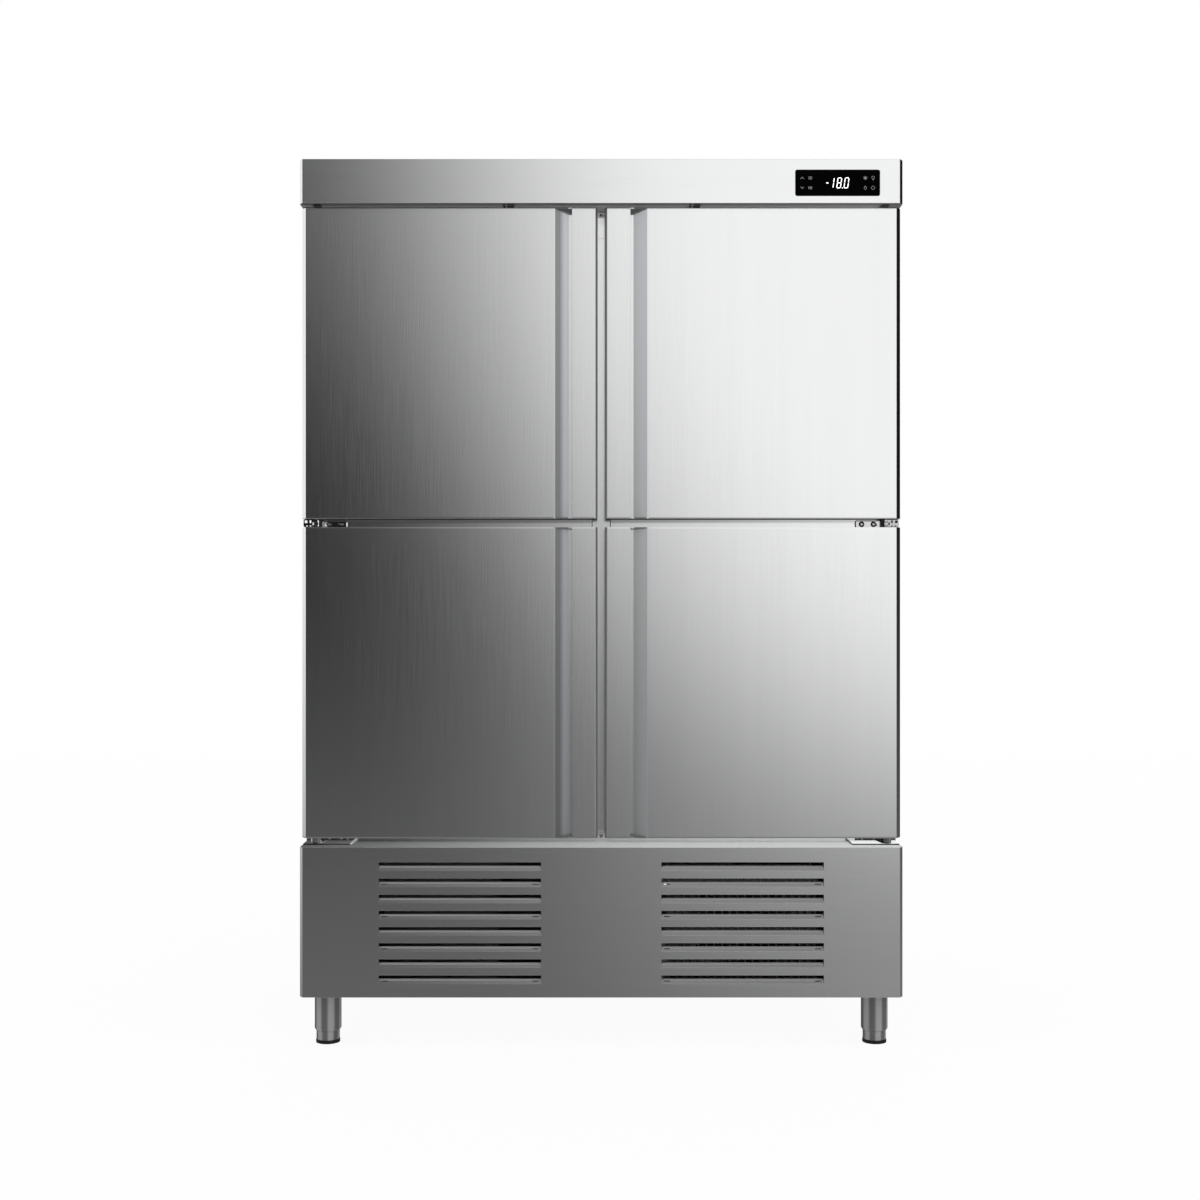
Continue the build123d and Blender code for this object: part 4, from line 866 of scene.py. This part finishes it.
def build_digits(shape):
    """Minus sign, slanted seven-segment digits and the point."""
    for centre, segments in DIGITS:
        for name in segments:
            outline = digit_segment(name)
            add_mark(shape, [(centre + x + z * DIGIT_SLANT, z) for x, z in outline])
    blocks = ((POINT_PLACE, POINT_SIZE, POINT_SIZE), (MINUS_PLACE, MINUS_WIDTH, MINUS_HEIGHT))
    for (x, z), width, height in blocks:
        w, h = width / 2, height / 2
        add_mark(shape, [(x - w, z - h), (x + w, z - h), (x + w, z + h), (x - w, z + h)])


def build_icons(shape):
    """Plain key signs: up, down, list, sliders, flake, lamp, drop and a ring."""
    up, down = ICON_ROWS
    first, second, third, fourth = ICON_COLUMNS
    add_strokes(shape, (first, up), [(-3.6, -1.8), (0, 1.8), (3.6, -1.8)])
    add_strokes(shape, (first, down), [(-3.6, 1.8), (0, -1.8), (3.6, 1.8)])
    for z in (-2.4, 0, 2.4):
        add_strokes(shape, (second, up), [(-1.6, z), (3.6, z)])
        add_strokes(shape, (second, up), [(-3.8, z), (-3.4, z)])
    for x, knob in ((-3, 1.2), (0, -1.4), (3, 0.8)):
        add_strokes(shape, (second, down), [(x, -2.8), (x, 2.8)])
        add_strokes(shape, (second, down), [(x - 1, knob), (x + 1, knob)])
    for angle in (0, 60, 120):
        a, b = 4.2 * math.sin(math.radians(angle)), 4.2 * math.cos(math.radians(angle))
        add_strokes(shape, (third, up), [(-a, -b), (a, b)])
    add_strokes(shape, (third, up), arc((0, 0), 2.2, 0, 360, 12))
    add_strokes(shape, (fourth, up), arc((0, 1), 3.2, -50, 230, 14))
    add_strokes(shape, (fourth, up), [(-1.4, -2.8), (1.4, -2.8)])
    add_strokes(shape, (fourth, up), [(-0.8, -4.4), (0.8, -4.4)])
    drop = arc((0, -1), 2.8, -200, 20, 12)
    add_strokes(shape, (third, down), drop + [(0, 4.2), drop[0]])
    add_strokes(shape, (fourth, down), arc((0, 0), 3.8, 0, 360, 20))


add_piece("display_digits", "cabinet", "display_white", build_digits)
add_piece("display_icons", "cabinet", "display_grey", build_icons)


# Door switches under the fascia, in millimetres; their depths are from the fascia's front

SWITCH_MIDDLES = (-213, 217)
SWITCH_BLOCKS = ((-13, -8.5), (-4, 12))
SWITCH_FRONT, SWITCH_BACK = 8, 37
SWITCH_DROP = 2.0
SWITCH_EDGE = 0.5


def build_switches(shape):
    """Two low housings with bevelled lower edges, a short and a long block each."""
    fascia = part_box("fascia")[0]
    for middle in SWITCH_MIDDLES:
        for low, high in SWITCH_BLOCKS:
            loops = []
            for inset, drop in ((0, 0), (0, SWITCH_DROP - SWITCH_EDGE), (SWITCH_EDGE, SWITCH_DROP)):
                x0, x1 = (middle + low + inset) * MM, (middle + high - inset) * MM
                y0, y1 = fascia.y + (SWITCH_FRONT + inset) * MM, fascia.y + (SWITCH_BACK - inset) * MM
                z = fascia.z - drop * MM
                corners = ((x0, y0), (x1, y0), (x1, y1), (x0, y1))
                loops.append([shape.verts.new((x, y, z)) for x, y in corners])
            close_loops(shape, loops)


add_piece("door_switches", "cabinet", "sensor_black", build_switches)


# Screws of the hinges and brackets: domed heads with a six-sided socket, in millimetres

HINGE_SPAN = 94.5
HINGE_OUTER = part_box("mid_hinges")[1].x / MM
HINGE_INNER = HINGE_OUTER - HINGE_SPAN
MID_MIDDLE = (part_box("door_upper_left_skin")[0].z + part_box("door_lower_left_skin")[1].z) / 2 / MM
SCREW_FROM_END, SCREW_PITCH = 15.5, 28
SCREW_RISE = 3
MID_SCREW_RADIUS, LOW_SCREW_RADIUS = 6.8, 5.5
LOW_SCREW_LIFT = 10
BRACKET_SCREW_RADIUS, BRACKET_SCREW_RISE = 4, 2
TOP_BRACKET_DROP, LOW_BRACKET_LIFT = 5.5, 12.5
SCREW_RIM = 0.25
SCREW_DOME_ANGLES = (0, 15, 30, 45, 58)
SCREW_DOME_SHARE = 0.98
SOCKET_SHARE, SOCKET_DRAFT, SOCKET_FLOOR = 0.5, 0.9, 0.25


def screw_profile(radius, height):
    """Domed head from its seat to the floor of its socket."""
    rim = height * SCREW_RIM
    points = [(radius, 0)]
    for angle in SCREW_DOME_ANGLES:
        a = math.radians(angle)
        points.append((radius * math.cos(a) * SCREW_DOME_SHARE, rim + (height - rim) * math.sin(a)))
    socket = radius * SOCKET_SHARE
    return points + [(socket, height), (socket * SOCKET_DRAFT, height * SOCKET_FLOOR)]


def build_screws(shape):
    """Every screw head on its hinge plate or bracket."""
    hinge_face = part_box("frame_screws")[0].y + SCREW_RISE * MM
    deck_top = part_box("base_deck")[1].z / MM
    for z, radius in ((MID_MIDDLE, MID_SCREW_RADIUS), (deck_top + LOW_SCREW_LIFT, LOW_SCREW_RADIUS)):
        for x in (HINGE_INNER + SCREW_FROM_END, HINGE_INNER + SCREW_FROM_END + SCREW_PITCH):
            for side in (-1, 1):
                place = (side * x * MM, hinge_face, z * MM)
                lathe(shape, screw_profile(radius, SCREW_RISE), place, forward=True, flats=6)
    low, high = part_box("mullion_brackets")
    head = screw_profile(BRACKET_SCREW_RADIUS, BRACKET_SCREW_RISE)
    for z in (high.z - TOP_BRACKET_DROP * MM, low.z + LOW_BRACKET_LIFT * MM):
        lathe(shape, head, (0, low.y, z), forward=True, flats=6)


screws = add_piece("screw_heads", "cabinet", "pin_steel", build_screws, sharp=30)
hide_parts("frame_screws")


# Mid hinges: plate, shoulder, knuckle and small facets, in millimetres; heights from the gap's middle

HINGE_PLATE = 3
PLATE_HALF, PLATE_CORNER = 9, 5
SHOULDER_INNER = 656.5
SHOULDER_HALF, SHOULDER_CORNER = 8.5, 2
HINGE_CHAMFER_ACROSS, HINGE_CHAMFER_UP, HINGE_CHAMFER_DEEP = 2.4, 0.7, 0.6
KNUCKLE_PLACE = (663.4, -1.2)
KNUCKLE_PROFILE = ((6.2, 0), (5.6, 0.9), (4.8, 0.9), (3.6, 0.2))
KNOB_PLACE, KNOB_BACK = (691.2, -1.2), 8
KNOB_PROFILE = ((2.4, 0), (2.4, 1.6), (1.8, 2.4), (0.8, 2.8))
FACET_SEAT, FACET_LOW_EDGE, FACET_SLOPE = 0.3, 0.1, 0.4
PLATE_FACETS = ((644.5, 649, -4.4, 1.0),)
SHOULDER_FACETS = (
    (666.6, 670.4, -4.6, 2.0), (673.8, 677.4, 0.6, 6.8), (682.8, 688.6, 0.6, 6.4),
    (674.0, 677.0, -7.4, -5.0), (682.0, 685.0, -7.4, -5.0),
)


def slab(shape, side, x0, x1, half, corner, back_y, front_y):
    """Plate with rounded corners and a chamfered front edge, mirrored to a side."""
    z0, z1 = MID_MIDDLE - half, MID_MIDDLE + half
    edge_y = front_y + HINGE_CHAMFER_DEEP
    loops = []
    for across, up, y in ((0, 0, back_y), (0, 0, edge_y), (HINGE_CHAMFER_ACROSS, HINGE_CHAMFER_UP, front_y)):
        outline = rounded_box(x0 + across, x1 - across, z0 + up, z1 - up, corner - up)
        loops.append([shape.verts.new((side * x * MM, y * MM, z * MM)) for x, z in outline])
    close_loops(shape, loops)


def facet(shape, side, span, front_y):
    """Small facet on a front face that leans towards the middle."""
    x0, x1, z0, z1 = span
    high_edge = FACET_LOW_EDGE + (x1 - x0) * FACET_SLOPE
    loops = []
    for inner, outer in ((-FACET_SEAT, -FACET_SEAT), (FACET_LOW_EDGE, high_edge)):
        places = ((x0, inner, z0), (x1, outer, z0), (x1, outer, z1), (x0, inner, z1))
        corners = [(side * x, front_y - rise, MID_MIDDLE + z) for x, rise, z in places]
        loops.append([shape.verts.new(Vector(corner) * MM) for corner in corners])
    close_loops(shape, loops)


def build_mid_hinges(shape):
    """Both mid hinges in the place of their node."""
    low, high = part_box("mid_hinges")
    front, back = low.y / MM, high.y / MM
    plate_y = back - HINGE_PLATE
    knobs = ((KNUCKLE_PLACE, KNUCKLE_PROFILE, front), (KNOB_PLACE, KNOB_PROFILE, front + KNOB_BACK))
    for side in (-1, 1):
        slab(shape, side, HINGE_INNER, HINGE_OUTER, PLATE_HALF, PLATE_CORNER, back, plate_y)
        slab(shape, side, SHOULDER_INNER, HINGE_OUTER, SHOULDER_HALF, SHOULDER_CORNER, plate_y, front)
        for (x, z), profile, y in knobs:
            lathe(shape, profile, Vector((side * x, y, MID_MIDDLE + z)) * MM, forward=True)
        for span in PLATE_FACETS:
            facet(shape, side, span, plate_y)
        for span in SHOULDER_FACETS:
            facet(shape, side, span, front)


mid_hinges = add_piece("mid_hinge_plates", "cabinet", "hinge_steel", build_mid_hinges, sharp=9)
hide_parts("mid_hinges")


# Door gaskets: a bellows with a magnet channel, (inset, depth) in millimetres from the door's back

GASKET_PROFILE = (
    (2.5, 0), (2.5, 1.6), (0.8, 2.6), (0.3, 4.0), (0.8, 5.2), (2.6, 6.2), (2.6, 6.8), (0.6, 7.8),
    (0.0, 9.2), (0.0, 12.0), (0.5, 13.1), (1.6, 13.7), (12.6, 13.7), (13.8, 13.2), (14.4, 12.2),
    (14.4, 9.0), (13.6, 7.8), (12.0, 7.0), (12.6, 6.0), (16.6, 5.4), (17.8, 4.4), (17.6, 3.4),
    (15.5, 2.6), (15.5, 0),
)


def gasket_builder(node):
    """Function that builds the gasket of a door in the place of its node."""
    low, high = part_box(node)

    def build(shape):
        loops = []
        for inset, depth in GASKET_PROFILE:
            x0, x1 = low.x + inset * MM, high.x - inset * MM
            z0, z1 = low.z + inset * MM, high.z - inset * MM
            corners = ((x0, z0), (x1, z0), (x1, z1), (x0, z1))
            loops.append([shape.verts.new((x, low.y + depth * MM, z)) for x, z in corners])
        join_loops(shape, loops + loops[:1])

    return build


for door in DOORS:
    node = f"door_{door}_gasket"
    ring = gasket_builder(node)
    gasket = add_piece(f"door_{door}_seal", f"door_{door}", "gasket_rubber", ring, sharp=60)
    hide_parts(node)


# Legs: ribbed pads, sleeves and screw feet, (radius, height) in millimetres

PAD_PROFILE = (
    (21, 0.9), (22, 0.0), (27.2, 0.0), (27.8, 0.2), (28.0, 0.7), (28.0, 3.0), (28.0, 4.0), (27.3, 4.4),
    (27.3, 5.0), (28.0, 5.4), (28.0, 6.4), (27.6, 7.4), (26.6, 8.0), (20.0, 8.0),
)
SLEEVE_PROFILE = (
    (31.0, 120), (31.0, 119), (31.0, 35.0), (31.0, 34.2), (30.8, 33.4), (30.2, 32.4), (29.2, 30.6),
    (28.6, 29.9), (28.0, 29.5), (27.3, 29.6), (27.1, 30.2), (27.1, 112),
)
FOOT_RADIUS = 27.0
FOOT_PROFILE = (
    (22.0, 8.0), (26.2, 8.0), (26.8, 8.3), (FOOT_RADIUS, 8.9), (FOOT_RADIUS, 9.8), (FOOT_RADIUS, 110.0),
    (FOOT_RADIUS, 110.8), (26.7, 111.4), (26.0, 111.7), (20.0, 111.7),
)
PAD_STEPS, TUBE_STEPS = 64, 96
foot_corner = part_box("foot_rear_right")[1]
LEG_X = foot_corner.x - FOOT_RADIUS * MM
LEG_Y = foot_corner.y - FOOT_RADIUS * MM


def pad_place(node):
    """Place under the middle of a pad's node."""
    low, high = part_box(node)
    return (low.x + high.x) / 2, (low.y + high.y) / 2, low.z


def leg_place(leg):
    """Place on the floor under the middle of a leg."""
    end, column = leg.split("_")
    return LEG_X if column == "right" else -LEG_X, LEG_Y if end == "rear" else -LEG_Y, 0


def build_sleeves(shape):
    """The four leg sleeves around their feet."""
    for leg in LEGS:
        lathe(shape, SLEEVE_PROFILE, leg_place(leg), steps=TUBE_STEPS)


for leg in LEGS:
    node = f"foot_pad_{leg}"
    form = turned(PAD_PROFILE, pad_place(node), PAD_STEPS)
    pad = add_piece(f"pad_{leg}", f"foot_{leg}", "pad_rubber", form)
    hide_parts(node)

sleeves = add_piece("leg_tubes", "cabinet", "leg_steel", build_sleeves)
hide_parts("leg_sleeves")

for leg in LEGS:
    node = f"foot_{leg}"
    form = turned(FOOT_PROFILE, leg_place(leg), TUBE_STEPS)
    foot = add_piece(f"{node}_tube", node, "leg_steel", form)
    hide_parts(node)


# Wire guard over the evaporator fan, in millimetres

GUARD_RINGS = (22, 38, 54, 70, 84)
GUARD_RING_POINTS = 48
GUARD_SPOKES, GUARD_SPOKE_TURN = 6, 30
GUARD_OVERHANG = 5
GUARD_WIRE = 1.3
GUARD_STEP = 4.0


def build_guard(shape):
    """Rings on straight spokes that lie on the evaporator's cover."""
    low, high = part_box("evaporator_cover")
    middle_x, middle_z = (low.x + high.x) / 2, (low.z + high.z) / 2
    ring_y = low.y - GUARD_STEP * MM
    spoke_y = ring_y + 2 * GUARD_WIRE * MM
    last = GUARD_RING_POINTS - 1
    for radius in GUARD_RINGS:
        circle = arc((middle_x, middle_z), radius * MM, 0, 360 * last / GUARD_RING_POINTS, last)
        wire(shape, [(x, ring_y, z) for x, z in circle], GUARD_WIRE * MM, closed=True)
    for i in range(GUARD_SPOKES):
        angle = math.radians(360 * i / GUARD_SPOKES + GUARD_SPOKE_TURN)
        reaches = [reach * MM for reach in (GUARD_RINGS[0], GUARD_RINGS[-1] + GUARD_OVERHANG)]
        spoke = [(middle_x + r * math.cos(angle), spoke_y, middle_z + r * math.sin(angle)) for r in reaches]
        wire(shape, spoke, GUARD_WIRE * MM)


add_piece("fan_guard", "cabinet", "coated_wire", build_guard)


# Blank plug in the cable entry, (radius, height) in millimetres forward of the back panel's outer face

PLUG_PROFILE = (
    (8.0, 0.1), (9.4, 0.2), (9.9, 0.5), (9.9, 1.3), (12.5, 1.4), (12.8, 2.4), (12.0, 3.0), (8.0, 3.2),
)


def build_plug(shape):
    """Rubber plug that closes the cable entry until a lead is fitted."""
    mounts = {mount["name"]: mount["pos_m"] for mount in frame["record"]["mounts"]}
    x, _, z = mounts["cable_entry"]
    lathe(shape, PLUG_PROFILE, (x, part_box("back_panel")[1].y, z), forward=True)


add_piece("cable_plug", "cabinet", "pad_rubber", build_plug)


# Studio

def direction(azimuth, elevation):
    """Unit vector at an azimuth from the front towards +X and an elevation."""
    a = math.radians(azimuth)
    e = math.radians(elevation)
    return math.sin(a) * math.cos(e), -math.cos(a) * math.cos(e), math.sin(e)


def smooth(tree, value, zero_at, one_at, top):
    """A soft step from 0 up to a top value, between two angles in degrees."""
    span = {"From_Min": math.radians(zero_at), "From_Max": math.radians(one_at)}
    step = add_node(tree, "ShaderNodeMapRange", To_Min=0.0, To_Max=top, **span)
    step.interpolation_type = "SMOOTHSTEP"
    tree.links.new(value, step.inputs["Value"])
    return step.outputs["Result"]


def dot_with(tree, aim, vector):
    """Dot product of a direction and a fixed vector."""
    dot = tree.nodes.new("ShaderNodeVectorMath")
    dot.operation = "DOT_PRODUCT"
    dot.inputs[1].default_value = vector
    tree.links.new(aim, dot.inputs[0])
    return dot.outputs["Value"]


def soft_panel(tree, aim, azimuth, elevation, full, gone, strength):
    """Round soft light about a direction, full within one angle and gone beyond another."""
    angle = math_node(tree, "ARCCOSINE", dot_with(tree, aim, direction(azimuth, elevation)))
    return math_node(tree, "SUBTRACT", strength, smooth(tree, angle, full, gone, strength))


def make_world():
    """White to the camera, soft panels and bands to the metal, an even soft fill to everything else."""
    world = bpy.data.worlds.new("studio")
    scene.world = world
    world.use_nodes = True
    tree = world.node_tree
    tree.nodes.clear()
    aim = tree.nodes.new("ShaderNodeTexCoord").outputs["Generated"]
    split = tree.nodes.new("ShaderNodeSeparateXYZ")
    tree.links.new(aim, split.inputs["Vector"])
    elevation = math_node(tree, "ARCSINE", split.outputs["Z"])
    lights = [soft_panel(tree, aim, *panel) for panel in SOFT_PANELS]
    lights += [smooth(tree, elevation, *band) for band in SOFT_BANDS]
    studio = lights[0]
    for lit in lights[1:] + [STUDIO_BASE]:
        studio = math_node(tree, "ADD", studio, lit)

    facing_fill = math_node(tree, "MAXIMUM", dot_with(tree, aim, FILL_DIRECTION), 0.0)
    fill = math_node(tree, "ADD", math_node(tree, "MULTIPLY", facing_fill, FILL_TOP), FILL_LEVEL)

    light = tree.nodes.new("ShaderNodeLightPath")
    glossy = math_node(tree, "MULTIPLY", light.outputs["Is Glossy Ray"], studio)
    not_glossy = math_node(tree, "SUBTRACT", 1.0, light.outputs["Is Glossy Ray"])
    lit = math_node(tree, "ADD", glossy, math_node(tree, "MULTIPLY", not_glossy, fill))
    seen = math_node(tree, "MAXIMUM", light.outputs["Is Camera Ray"], light.outputs["Is Transmission Ray"])
    hidden = math_node(tree, "SUBTRACT", 1.0, seen)
    strength = math_node(tree, "ADD", seen, math_node(tree, "MULTIPLY", hidden, lit))
    background = tree.nodes.new("ShaderNodeBackground")
    background.inputs["Color"].default_value = (1, 1, 1, 1)
    tree.links.new(strength, background.inputs["Strength"])
    output = tree.nodes.new("ShaderNodeOutputWorld")
    tree.links.new(background.outputs["Background"], output.inputs["Surface"])


def make_floor():
    """Plain pale floor that keeps a faint shadow."""
    mesh = bpy.data.meshes.new("floor")
    half = FLOOR_SIZE / 2
    corners = [(-half, -half, 0), (half, -half, 0), (half, half, 0), (-half, half, 0)]
    mesh.from_pydata(corners, [], [(0, 1, 2, 3)])
    floor = bpy.data.objects.new("floor", mesh)
    scene.collection.objects.link(floor)
    material = bpy.data.materials.new("floor")
    material.use_nodes = True
    tree = material.node_tree
    tree.nodes.clear()
    matt = tree.nodes.new("ShaderNodeBsdfDiffuse")
    matt.inputs["Color"].default_value = (0.9, 0.9, 0.9, 1)
    glow = tree.nodes.new("ShaderNodeEmission")
    glow.inputs["Color"].default_value = (1, 1, 1, 1)
    mix = tree.nodes.new("ShaderNodeMixShader")
    light = tree.nodes.new("ShaderNodeLightPath")
    share = math_node(tree, "MULTIPLY", light.outputs["Is Camera Ray"], FLOOR_GLOW)
    tree.links.new(share, mix.inputs["Fac"])
    tree.links.new(matt.outputs["BSDF"], mix.inputs[1])
    tree.links.new(glow.outputs["Emission"], mix.inputs[2])
    output = tree.nodes.new("ShaderNodeOutputMaterial")
    tree.links.new(mix.outputs["Shader"], output.inputs["Surface"])
    mesh.materials.append(material)
    floor.visible_glossy = False


def make_camera():
    """Level camera at the photograph's viewing angle."""
    data = bpy.data.cameras.new("camera")
    data.lens = CAMERA_LENS
    data.sensor_width = SENSOR_WIDTH
    camera = bpy.data.objects.new("camera", data)
    camera.location = CAMERA_PLACE
    camera.rotation_euler = (math.radians(90), 0, 0)
    scene.collection.objects.link(camera)
    scene.camera = camera


make_world()
make_floor()
make_camera()
